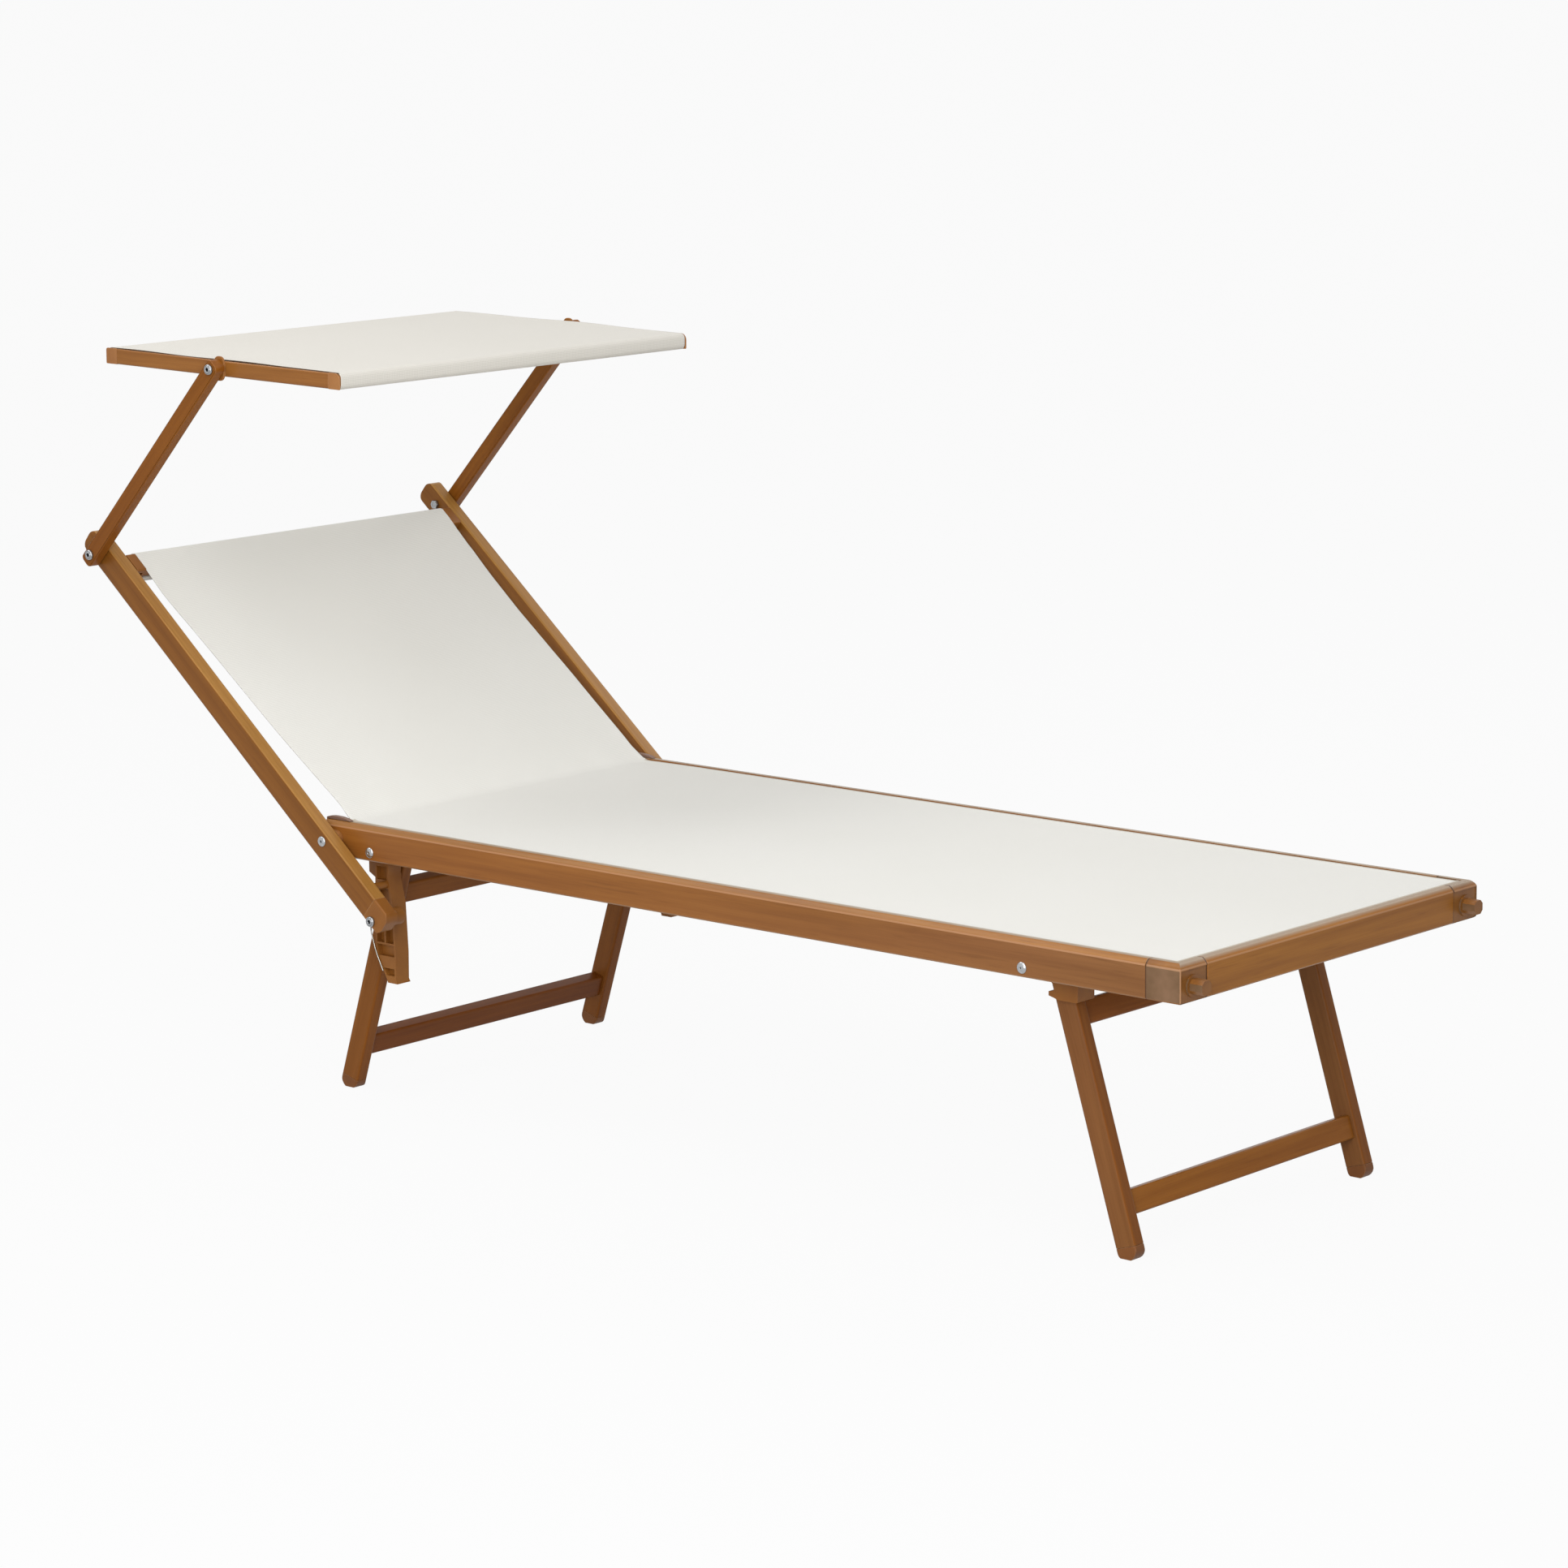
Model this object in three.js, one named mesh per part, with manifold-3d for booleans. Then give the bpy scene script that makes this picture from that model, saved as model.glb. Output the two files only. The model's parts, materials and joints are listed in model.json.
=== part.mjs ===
// Folding sun lounger with a canopy, in millimetres. +Z is up, +X points to the foot end and
// +Y to the left of someone lying on it. The origin is under the middle of the part, on the ground.
// Rails, legs, arms and bars are aluminium tubes in a wood-grain film, with moulded end pieces.
import * as THREE from "three";
import { mergeVertices } from "three/addons/utils/BufferGeometryUtils.js";
import Module from "manifold-3d";

const wasm = await Module();
wasm.setup();

// General
const fitGap = 0.3; // left between pieces that touch
const overrun = 4; // how far a cut passes the face that it opens
const spigotLength = 40; // how far a moulded end piece reaches into a tube
const roundSides = 16; // sides of a small round
const cornerSteps = 3; // steps in the rounded edge of a tube
const hexSides = 6;

// Seat frame
const seatWidth = 610;
const seatLength = 1431; // foot face to the rear ends of the side rails
const seatHeight = 386.5; // ground to the crown of the rails
const railThickness = 23;
const railDepth = 47.5;
const railWall = 1.8;
const railFootRadius = 2;
const crownWidth = 13.7; // outer face to the inner edge of the crown
const shoulderWidth = 7;
const shoulderRise = 6.5;
const shoulderBend = 1.3; // 1 for a flat bevel, more for a rounder one
const ledgeStep = 3; // crown down to the ledge that the sling's edge lies on
const slingThickness = 1.2;

// Foot corners and their pegs
const cornerLength = 51; // along the side rail
const cornerReach = 52; // along the foot rail
const cornerSeam = 0.7; // open joint between a side rail and its corner
const pegWidth = 17.5;
const pegLength = 19;
const pegChamfer = 4.5;
const pegInset = 25;
const pegDrop = 28.5;
const collarRadius = 13.5;
const collarThickness = 1;
const panelDepth = 1.2; // the foot face's recess round the peg
const panelRim = 1.5; // left beside it at the outer edge
const panelTop = 8.5; // its upper edge below the crown

// Rear end caps and the cross tube on the backrest's hinge line
const capPlate = 2.5;
const capPlugLength = 14;
const tongueLength = 45;
const tongueThickness = 6.8;
const tongueRise = 5; // top of the hump above the crown
const hingeInset = 23.4; // hinge line ahead of the rails' rear ends
const hingeDrop = 23.2; // hinge line below the crown
const spacerRadius = 11.3;
const crossTubeRadius = 12.5;
const crossTubeWall = 1.5;
const crossTubePlug = 12;

// The tongue's low hump, as shares of its length and of its rise
const tongueShares = [
  [0, 0.45],
  [0.1, 0.75],
  [0.25, 0.96],
  [0.4, 1],
  [0.6, 0.94],
  [0.8, 0.7],
  [0.94, 0.36],
  [1, 0.12],
];

// Legs
const frontPivotInset = 233.9; // behind the foot face
const rearPivotInset = 84.5; // ahead of the rails' rear ends
const legPivotDrop = 35.75; // below the crown
const frontLean = 17.2; // degrees from upright
const rearLean = 18.3; // degrees from upright
const legWidth = 30.4;
const legThickness = 19.3;
const legWall = 1.5;
const legEdgeRadius = 3;
const legPivotOffset = 4; // pivot from the leg's centre line, towards the middle of the lounger
const legTopRadius = 18.5;
const barHeight = 30.4;
const barThickness = 20;
const barWall = 1.4;
const lowerBarPlace = 65.3; // along the leg, from the ground to the bar's centre line
const upperBarPlace = 298;
const footCut = 2.2; // cut off the round tip to make a flat
const footStraight = 2;
const footSpigot = 25;

// Leg brackets, with sizes counted from the leg's pivot, outward along the lounger and upward
const sideClearance = 1; // beside a swinging rack
const cheekThickness = 9.4;
const hubRadius = 17;
const frontBracketReach = 45.5;
const rearBracketReach = 53.5;
const bracketShoulder = 6; // bevel under the top edge, out to the full reach
const bracketShoulderRise = 2; // top of that bevel above the pivot
const bracketDrop = 46;
const frontBracketBevel = 2.5; // along the lower edge, where the reach ends
const rearBracketBevel = 11;
const bracketBevelRise = 0.55; // as a share of its run
const bracketHeel = 15;
const bracketNeck = 9.4; // ahead of the pivot, above the hook
const bracketNeckDrop = 28.8;
const hookTip = 1.4; // ahead of the pivot
const hookDrop = 36.9;
const hookThickness = 5.3;
const hookFlare = 1.9; // how much thicker it is at each side of its root
const hubSweepEnd = 250; // degrees round the hub where its outline leaves for the neck
const stopTop = 6; // top of the stop wall below the pivot
const stopOverlap = 3; // stop wall beyond the leg's inner face
const spacerBossRadius = 12;
const rearFootLength = 14;
const rearFootClearance = 2.6; // to the cross tube
const rearFootDrop = 5;
const rearFootRise = 25;

// Recline racks, which hang from the rear leg rivets
const rackThickness = 24;
const rackPocketDepth = 8; // in the face that looks out, and the same in the other
const rackRim = 3;
const rackLength = 181;
const rackReach = 20; // front edge ahead of the pivot
const rackHubRadius = 14;
const rackNeckFront = 9.8;
const lugRadius = 5.5;
const lugLength = 22;
const lugDrop = 46.75;
const lugPlace = 3.5;
const springRadius = 1;
const springSides = 8;
const springSteps = 16;

// Rows of drop, front edge and back edge, as shares of the rack's length and reach
const rackEdgeShares = [
  [0.12, 0.5, -0.77],
  [0.2, 0.4, -0.78],
  [0.4, 0.83, -0.86],
  [0.54, 0.88, -0.89],
  [0.77, 0.98, -0.95],
  [0.975, 0.94, 0.07],
  [1, 1.07, 0.15],
];

// Pockets between ribs, as shares of the rack's length where each starts and ends
const rackPocketShares = [
  [0.125, 0.225],
  [0.29, 0.55],
  [0.58, 0.7],
  [0.715, 0.8],
  [0.89, 0.945],
];
const ribbedPocket = 2; // which of them has a rib down its middle

// The spring wire's path down the back of the rack, as shares of the rack's reach and length
const springShares = [
  [-0.5, 0.27],
  [-1.1, 0.45],
  [-1.28, 0.62],
  [-1.08, 0.7],
  [-0.87, 0.77],
  [-0.22, 0.915],
];

// Backrest, with sizes counted from its hinge line, up along the rails and square to them
const recline = 39.9; // degrees above the horizontal
const backRailSpace = 7.2; // side rail to backrest rail
const backRailThickness = 21.6;
const backRailDepth = 35.4;
const backRailAbove = 11.9; // hinge line to the upper face
const backRailWall = 1.5;
const backRailEdgeRadius = 3;
const backRailLength = 589.5;
const backRailEndRadius = 12;
const backCapLength = 22;
const followerPlace = 132; // bolt below the hinge line, along the rails
const followerDrop = 16.2;
const followerBossRadius = 12;
const followerLength = 35;
const followerOverhang = 21; // bolt to the follower's end
const followerSideGap = 1.5; // follower to rack, where the linkage is left open
const topTubePlace = 517;
const topTubeDepth = 29;
const topTubeHeight = 17;
const topTubeRadius = 5;
const topTubeWall = 1.4;
const connectorWidth = 15.5;
const connectorRadius = 2.5;
const connectorHole = 7; // square opening in the connector's lower face
const connectorHoleDepth = 5;
const slingStart = 17;
const slingStartAbove = 22;
const sleeveTail = 17; // centre of the top tube to the free edge of the sling's sleeve

// The backrest sling's dip below the straight line from its start to the top tube, as shares
const slingDipShares = [0, 0.35, 0.75, 1, 0.85, 0.4, 0];
const slingDip = 3;

// Canopy arms
const armPivotPlace = 555.4; // along the backrest rails
const armPivotDrop = 4.75; // below the hinge line, square to the rails
const armAngle = 46.2; // degrees above the horizontal
const armLength = 374; // between the pivots
const armWidth = 22;
const armThickness = 16.8;
const armWall = 1.4;
const armLowEnd = 16; // beyond the lower pivot
const armTopEnd = 11; // beyond the upper pivot
const armEndRadius = 6.5;
const armEdgeRadius = 2;
const armPlug = 4;
const armSpace = 2.2; // backrest rail to arm

// Canopy
const canopyTilt = 1.2; // degrees, front edge lower
const canopyHalfLength = 231;
const canopySpace = 2.6; // arm to side bar
const sideBarThickness = 17;
const sideBarHeight = 21.5;
const sideBarWall = 1.3;
const sideBarRadius = 2.5;
const saddleWidth = 19; // pivot saddle on a side bar's outer face
const saddleHeight = 33;
const saddleRadius = 8;
const elbowLength = 21;
const elbowFrontRadius = 9; // upper outer corner, seen from the side
const elbowRearRadius = 3;
const elbowLowRadius = 1;
const elbowSpigot = 22;
const canopyTubeSize = 19.5;
const canopyTubeRadius = 5.5;
const canopyTubeWall = 1.3;
const coverLip = 2; // wall that stands outside the cover's edge
const coverEdgeGap = 0.6; // cover to that wall, and hem to side bar
const coverSag = 0.5;
const coverHem = 45; // sleeve's return under the cover
const coverSteps = 8;

// Fasteners
const pinRadius = 4;
const pinHeadRadius = 7.1;
const pinHeadHeight = 2.4;
const screwRadius = 3;
const screwHeadRadius = 7.2;
const screwHeadHeight = 4.2;
const screwHeadTopRadius = 5.2;
const socketRadius = 3;
const socketDepth = 2.4;
const nutRadius = 7;
const nutThickness = 5;
const washerRadius = 8.5;

// A pin's domed head: rows of radius and height, as shares of the head's own
const pinHeadShares = [
  [1, 0],
  [0.9, 0.6],
  [0.5, 1],
];

// Worked out from the sizes above
const halfWidth = seatWidth / 2;
const railInnerY = halfWidth - railThickness;
const railBottomZ = seatHeight - railDepth;
const ledgeZ = seatHeight - ledgeStep;
const slingEdge = crownWidth + fitGap;
const hingeX = hingeInset - seatLength;
const hingeZ = seatHeight - hingeDrop;
const legPivotZ = seatHeight - legPivotDrop;
const rackOuterY = railInnerY - sideClearance;
const rackInnerY = rackOuterY - rackThickness;
const cheekOuterY = rackInnerY - sideClearance;
const cheekInnerY = cheekOuterY - cheekThickness;
const legOuterY = cheekInnerY - fitGap;
const legInnerY = legOuterY - legThickness;
const backRailInnerY = halfWidth + backRailSpace;
const backRailOuterY = backRailInnerY + backRailThickness;
const backRailBelow = backRailDepth - backRailAbove;
const armInnerY = backRailOuterY + armSpace;
const armOuterY = armInnerY + armThickness;
const sideBarOuterY = armInnerY - canopySpace;
const sideBarInnerY = sideBarOuterY - sideBarThickness;
const lipInnerY = sideBarOuterY - coverLip;
const rebateZ = canopyTubeSize / 2 - coverSag; // floor that the cover's edge lies on
const sleeveOffset = fitGap + slingThickness / 2;
const topTubeMiddle = backRailAbove - topTubeHeight / 2 - fitGap - slingThickness;
const canopyTubePlace = canopyHalfLength - canopyTubeSize / 2 - fitGap - slingThickness;
const pinBore = pinRadius + fitGap;
const screwBore = screwRadius + fitGap;

// Finishes
const woodFilm = { color: 0x965f32, roughness: 0.45, metalness: 0.1 };
const brownPlastic = { color: 0x7d5030, roughness: 0.55, metalness: 0 };
const cornerPlastic = { color: 0x886850, roughness: 0.5, metalness: 0 };
const slingFabric = { color: 0xe1e0da, roughness: 0.9, metalness: 0 };
const zinc = { color: 0xc4c8ca, roughness: 0.3, metalness: 0.9 };

const degrees = THREE.MathUtils.degToRad;

// Outlines are lists of [across, up] points

function roundedRectangle(low, high, radius, steps = cornerSteps) {
  const points = [];
  const centres = [
    [high[0] - radius, high[1] - radius],
    [low[0] + radius, high[1] - radius],
    [low[0] + radius, low[1] + radius],
    [high[0] - radius, low[1] + radius],
  ];
  centres.forEach((centre, corner) => {
    for (let step = 0; step <= steps; step += 1) {
      const angle = (corner + step / steps) * (Math.PI / 2);
      points.push([centre[0] + radius * Math.cos(angle), centre[1] + radius * Math.sin(angle)]);
    }
  });
  return points;
}

function rectangle(low, high) {
  return [low, [high[0], low[1]], high, [low[0], high[1]]];
}

// A rounded rectangle drawn in by a wall, for a tube's hollow or what fills it
function drawnIn(low, high, skin, radius) {
  return roundedRectangle(
    [low[0] + skin, low[1] + skin],
    [high[0] - skin, high[1] - skin],
    Math.max(radius - skin, fitGap),
    1,
  );
}

function arc(centre, radius, fromDegrees, toDegrees, steps) {
  const points = [];
  for (let step = 0; step <= steps; step += 1) {
    const angle = degrees(fromDegrees + ((toDegrees - fromDegrees) * step) / steps);
    points.push([centre[0] + radius * Math.cos(angle), centre[1] + radius * Math.sin(angle)]);
  }
  return points;
}

function circle(centre, radius, sides = roundSides) {
  return arc(centre, radius, 0, 360, sides).slice(0, sides);
}

// A strip of even thickness that follows a path of [across, up] points
function strip(path, thickness) {
  const points = path.map(([across, up]) => new THREE.Vector2(across, up));
  const left = [];
  const right = [];
  points.forEach((point, index) => {
    const before = points[Math.max(index - 1, 0)];
    const after = points[Math.min(index + 1, points.length - 1)];
    const along = after.clone().sub(before).normalize();
    const side = new THREE.Vector2(-along.y, along.x).multiplyScalar(thickness / 2);
    left.push([point.x + side.x, point.y + side.y]);
    right.unshift([point.x - side.x, point.y - side.y]);
  });
  return left.concat(right);
}

// Solids

function toSolid(geometry) {
  geometry.deleteAttribute("normal");
  geometry.deleteAttribute("uv");
  const merged = mergeVertices(geometry);
  return new wasm.Manifold(new wasm.Mesh({
    numProp: 3,
    vertProperties: new Float32Array(merged.attributes.position.array),
    triVerts: new Uint32Array(merged.index.array),
  }));
}

function extruded(outline, depth) {
  const shape = new THREE.Shape(outline.map(([across, up]) => new THREE.Vector2(across, up)));
  return new THREE.ExtrudeGeometry(shape, { depth, bevelEnabled: false, curveSegments: 1 });
}

// An outline of [x, z] points carried along Y
function alongY(outline, startY, endY) {
  const geometry = extruded(outline, endY - startY);
  return toSolid(geometry.rotateX(Math.PI / 2).translate(0, endY, 0));
}

// An outline of [y, z] points carried along X
function alongX(outline, startX, endX) {
  const geometry = extruded(outline, endX - startX);
  const turn = new THREE.Matrix4().makeBasis(
    new THREE.Vector3(0, 1, 0),
    new THREE.Vector3(0, 0, 1),
    new THREE.Vector3(1, 0, 0),
  );
  return toSolid(geometry.applyMatrix4(turn).translate(startX, 0, 0));
}

// An outline of [x, y] points carried along Z
function alongZ(outline, startZ, endZ) {
  return toSolid(extruded(outline, endZ - startZ).translate(0, 0, startZ));
}

// A tube, open at both ends, carried along an axis by one of the three functions above
function tube(carry, outline, hollow, start, end) {
  return carry(outline, start, end).subtract(carry(hollow, start - overrun, end + overrun));
}

// A profile of [radius, y] points turned about a line along Y through [x, z]
function turned(profile, place, sides = roundSides) {
  const points = profile.map(([radius, y]) => new THREE.Vector2(radius, y));
  const solid = toSolid(new THREE.LatheGeometry(points, sides));
  return solid.translate([place[0], 0, place[1]]);
}

function rod(radius, startY, endY, place, sides = roundSides) {
  return turned([[0, startY], [radius, startY], [radius, endY], [0, endY]], place, sides);
}

function joined(...solids) {
  return solids.reduce((sum, solid) => sum.add(solid));
}

function toGeometry(solid) {
  const mesh = solid.getMesh();
  const geometry = new THREE.BufferGeometry();
  geometry.setAttribute("position", new THREE.BufferAttribute(mesh.vertProperties, mesh.numProp));
  geometry.setIndex(new THREE.BufferAttribute(mesh.triVerts, 1));
  return geometry;
}

function mirrored(geometry) {
  const copy = geometry.clone();
  const position = copy.attributes.position;
  for (let vertex = 0; vertex < position.count; vertex += 1) {
    position.setY(vertex, -position.getY(vertex));
  }
  copy.index.array.reverse();
  return copy;
}

function addPiece(group, name, geometry, finish) {
  const plain = geometry.toNonIndexed();
  plain.computeVertexNormals();
  const mesh = new THREE.Mesh(plain, new THREE.MeshStandardMaterial(finish));
  mesh.name = name;
  group.add(mesh);
}

function addOne(group, name, solid, finish) {
  addPiece(group, name, toGeometry(solid), finish);
}

// The left piece as given, and the right one as its mirror image
function addPair(group, name, solid, finish) {
  const geometry = toGeometry(solid);
  addPiece(group, `${name}_left`, geometry, finish);
  addPiece(group, `${name}_right`, mirrored(geometry), finish);
}

// Rail section: outline as [inward from the outer face, z]

function railOutline() {
  const shoulder = [];
  const steps = 2 * cornerSteps;
  for (let step = 0; step <= steps; step += 1) {
    const share = step / steps;
    shoulder.push([
      shoulderWidth * share,
      seatHeight - shoulderRise * (1 - share) ** shoulderBend,
    ]);
  }
  return [
    [railFootRadius, railBottomZ],
    [0, railBottomZ + railFootRadius],
    ...shoulder,
    [crownWidth, seatHeight],
    [crownWidth, ledgeZ],
    [railThickness, ledgeZ],
    [railThickness, railBottomZ + railFootRadius],
    [railThickness - railFootRadius, railBottomZ],
  ];
}

// The tube's hollow, less a clearance where a spigot fills it
function railHollow(clearance) {
  const skin = railWall + clearance;
  const cut = shoulderWidth - railWall;
  return [
    [skin, railBottomZ + skin],
    [skin, ledgeZ - skin - cut],
    [skin + cut, ledgeZ - skin],
    [railThickness - skin, ledgeZ - skin],
    [railThickness - skin, railBottomZ + skin],
  ];
}

const atSide = (outline) => outline.map(([inward, z]) => [halfWidth - inward, z]);
const atFoot = (outline) => outline.map(([inward, z]) => [-inward, z]);

// Everything outside the shoulder line, to trim a corner to the shape of both rails
function railEnvelope() {
  return railOutline().slice(0, -4).concat([
    [2 * cornerReach, seatHeight],
    [2 * cornerReach, railBottomZ],
  ]);
}

const lounger = new THREE.Group();

// Seat frame

const seat = new THREE.Group();
lounger.add(seat);

const legPivots = {
  front: {
    x: -frontPivotInset,
    outward: 1,
    lean: frontLean,
    reach: frontBracketReach,
    bevel: frontBracketBevel,
  },
  rear: {
    x: rearPivotInset - seatLength,
    outward: -1,
    lean: rearLean,
    reach: rearBracketReach,
    bevel: rearBracketBevel,
  },
};

function boreThroughRail(x, z) {
  return rod(pinBore, railInnerY - overrun, halfWidth + overrun, [x, z]);
}

function sideRail() {
  const front = -cornerLength - cornerSeam;
  return tube(alongX, atSide(railOutline()), atSide(railHollow(0)), -seatLength, front)
    .subtract(boreThroughRail(legPivots.front.x, legPivotZ))
    .subtract(boreThroughRail(legPivots.rear.x, legPivotZ))
    .subtract(boreThroughRail(hingeX, hingeZ));
}

function footRail() {
  const end = halfWidth - cornerReach - fitGap;
  return tube(alongY, atFoot(railOutline()), atFoot(railHollow(0)), -end, end);
}

function peg() {
  const half = pegWidth / 2;
  const short = half - pegChamfer;
  const place = [halfWidth - pegInset, seatHeight - pegDrop];
  const octagon = [
    [half, short], [short, half], [-short, half], [-half, short],
    [-half, -short], [-short, -half], [short, -half], [half, -short],
  ].map(([y, z]) => [place[0] + y, place[1] + z]);
  const collar = circle(place, collarRadius);
  const root = -panelDepth - collarThickness;
  return alongX(octagon, root, pegLength).add(alongX(collar, root, collarThickness));
}

function footCorner() {
  const sideLeg = alongX(atSide(railOutline()), -cornerLength, 0);
  const footLeg = alongY(atFoot(railOutline()), halfWidth - cornerReach, halfWidth);
  const block = sideLeg.add(footLeg)
    .intersect(alongX(atSide(railEnvelope()), -cornerLength, 0))
    .intersect(alongY(atFoot(railEnvelope()), halfWidth - cornerReach, halfWidth));
  const reach = halfWidth - cornerReach;
  const panel = alongX(
    rectangle(
      [reach - overrun, railBottomZ - overrun],
      [halfWidth - panelRim, seatHeight - panelTop],
    ),
    -panelDepth,
    overrun,
  );
  const sideSpigot = alongX(
    atSide(railHollow(fitGap)),
    -cornerLength - spigotLength,
    -railThickness,
  );
  const footSpigot = alongY(atFoot(railHollow(fitGap)), reach - spigotLength, railInnerY);
  return joined(block.subtract(panel), sideSpigot, footSpigot, peg());
}

// Plate and plug closing a side rail, a tongue over its crown, and the spacer of the hinge
function railEndCap() {
  const plateX = -seatLength - fitGap;
  const plate = alongX(atSide(railOutline()), plateX - capPlate, plateX);
  const plug = alongX(atSide(railHollow(fitGap)), plateX, plateX + capPlugLength);
  const tongueOuterY = halfWidth - crownWidth + slingThickness + tongueThickness;
  const tongueFoot = seatHeight + fitGap;
  const tongueProfile = tongueShares.map(([along, rise]) => [
    plateX - capPlate + along * tongueLength,
    tongueFoot + rise * (tongueRise - fitGap),
  ]).concat([
    [plateX - capPlate + tongueLength, tongueFoot],
    [plateX - capPlate, tongueFoot],
  ]);
  const tongueStem = rectangle(
    [plateX - capPlate, ledgeZ],
    [plateX, tongueFoot + tongueShares[0][1] * (tongueRise - fitGap)],
  );
  const tongueInnerY = tongueOuterY - tongueThickness;
  const tongue = alongY(tongueProfile, tongueInnerY, tongueOuterY)
    .add(alongY(tongueStem, tongueInnerY, tongueOuterY));
  const cheekInner = halfWidth + fitGap;
  const cheekOuter = backRailInnerY - fitGap;
  const spacer = rod(spacerRadius, cheekInner, cheekOuter, [hingeX, hingeZ]);
  const cheek = alongY(
    rectangle([plateX - capPlate, hingeZ - spacerRadius], [hingeX, hingeZ + spacerRadius]),
    cheekInner,
    cheekOuter,
  );
  const bridge = alongY(
    rectangle([plateX - capPlate, hingeZ - spacerRadius], [plateX, hingeZ + spacerRadius]),
    halfWidth - railWall,
    cheekOuter,
  );
  const bore = rod(pinBore, halfWidth - fitGap, backRailInnerY + overrun, [hingeX, hingeZ]);
  return joined(plate, plug, tongue, spacer, cheek, bridge).subtract(bore);
}

function crossTube() {
  const end = railInnerY - fitGap;
  const inner = crossTubeRadius - crossTubeWall;
  const profile = [
    [pinBore, -end], [crossTubeRadius, -end], [crossTubeRadius, end], [pinBore, end],
    [pinBore, end - crossTubePlug], [inner, end - crossTubePlug],
    [inner, crossTubePlug - end], [pinBore, crossTubePlug - end], [pinBore, -end],
  ];
  return turned(profile, [hingeX, hingeZ]);
}

function seatSling() {
  const low = [hingeX, ledgeZ + fitGap];
  const high = [-slingEdge, ledgeZ + fitGap + slingThickness];
  return alongY(rectangle(low, high), slingEdge - halfWidth, halfWidth - slingEdge);
}

// A bracket's outline about the leg's pivot, as [x, z]
function bracketOutline({ x, outward, reach, bevel }) {
  const hub = arc([0, 0], hubRadius, 90, hubSweepEnd, 2 * cornerSteps + 2);
  const hookLow = hookDrop + hookThickness;
  const points = [
    ...hub,
    [bracketNeck, -bracketNeckDrop],
    [bracketNeck, hookFlare - hookDrop],
    [hookTip, -hookDrop],
    [hookTip, -hookLow],
    [bracketNeck, -hookLow - hookFlare],
    [bracketHeel, -bracketDrop],
    [reach - bevel, -bracketDrop],
    [reach, bevel * bracketBevelRise - bracketDrop],
    [reach, bracketShoulderRise - bracketShoulder],
    [reach - bracketShoulder, bracketShoulderRise],
    [reach - bracketShoulder, hubRadius],
  ];
  return points.map(([out, z]) => [x + outward * out, legPivotZ + z]);
}

// The wall that the opened leg leans on, parallel to the leg's outward face
function stopWallOutline({ x, outward, lean, reach, bevel }) {
  const face = legWidth / 2 + legPivotOffset + fitGap;
  const outAt = (z) => (face - z * Math.sin(degrees(lean))) / Math.cos(degrees(lean));
  const bevelTop = bevel * bracketBevelRise - bracketDrop;
  const points = [
    [outAt(-stopTop), -stopTop],
    [reach, -stopTop],
    [reach, bevelTop],
    [Math.max(reach - bevel, outAt(-bracketDrop)), -bracketDrop],
    [outAt(-bracketDrop), -bracketDrop],
  ];
  return points.map(([out, z]) => [x + outward * out, legPivotZ + z]);
}

function legBracket(pivot) {
  const cheek = alongY(bracketOutline(pivot), cheekInnerY, cheekOuterY);
  const wall = alongY(stopWallOutline(pivot), legInnerY - stopOverlap, cheekOuterY);
  const railSide = railInnerY - fitGap;
  const bore = rod(pinBore, cheekInnerY - overrun, railInnerY + overrun, [pivot.x, legPivotZ]);
  let mount;
  if (pivot.outward > 0) {
    mount = rod(spacerBossRadius, cheekInnerY, railSide, [pivot.x, legPivotZ]);
  } else {
    const end = hingeX + crossTubeRadius + rearFootClearance;
    const foot = rectangle(
      [end, legPivotZ - rearFootDrop],
      [end + rearFootLength, legPivotZ + rearFootRise],
    );
    mount = alongY(foot, cheekInnerY, railSide);
  }
  return joined(cheek, wall, mount).subtract(bore);
}

// A pin with a domed head at each end
function headedPin(startY, endY, place) {
  const head = (faceY, direction) => pinHeadShares.map(([radius, height]) => [
    radius * pinHeadRadius,
    faceY + direction * height * pinHeadHeight,
  ]);
  const profile = [
    [0, startY - fitGap - pinHeadHeight],
    ...head(startY - fitGap, -1).reverse(),
    [pinRadius, startY - fitGap],
    [pinRadius, endY + fitGap],
    ...head(endY + fitGap, 1),
    [0, endY + fitGap + pinHeadHeight],
  ];
  return turned(profile, place);
}

addPair(seat, "side_rail", sideRail(), woodFilm);
addOne(seat, "foot_rail", footRail(), woodFilm);
addPair(seat, "foot_corner", footCorner(), cornerPlastic);
addPair(seat, "rail_end_cap", railEndCap(), brownPlastic);
addOne(seat, "rear_cross_tube", crossTube(), woodFilm);
addOne(seat, "seat_sling", seatSling(), slingFabric);
for (const [end, pivot] of Object.entries(legPivots)) {
  addPair(seat, `leg_bracket_${end}`, legBracket(pivot), brownPlastic);
  addPair(seat, `leg_rivet_${end}`, headedPin(legInnerY, halfWidth, [pivot.x, legPivotZ]), zinc);
}
addPair(
  seat,
  "backrest_pivot_bolt",
  headedPin(railInnerY - crossTubePlug - fitGap, backRailOuterY, [hingeX, hingeZ]),
  zinc,
);

// Legs, each pair upright in its own frame with the pivot at its origin

// How far down the leg's centre line a point lies that is a given height above the ground
function legReach(lean, height) {
  const rise = legPivotZ + legPivotOffset * Math.sin(degrees(lean)) - height;
  return rise / Math.cos(degrees(lean));
}

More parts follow.
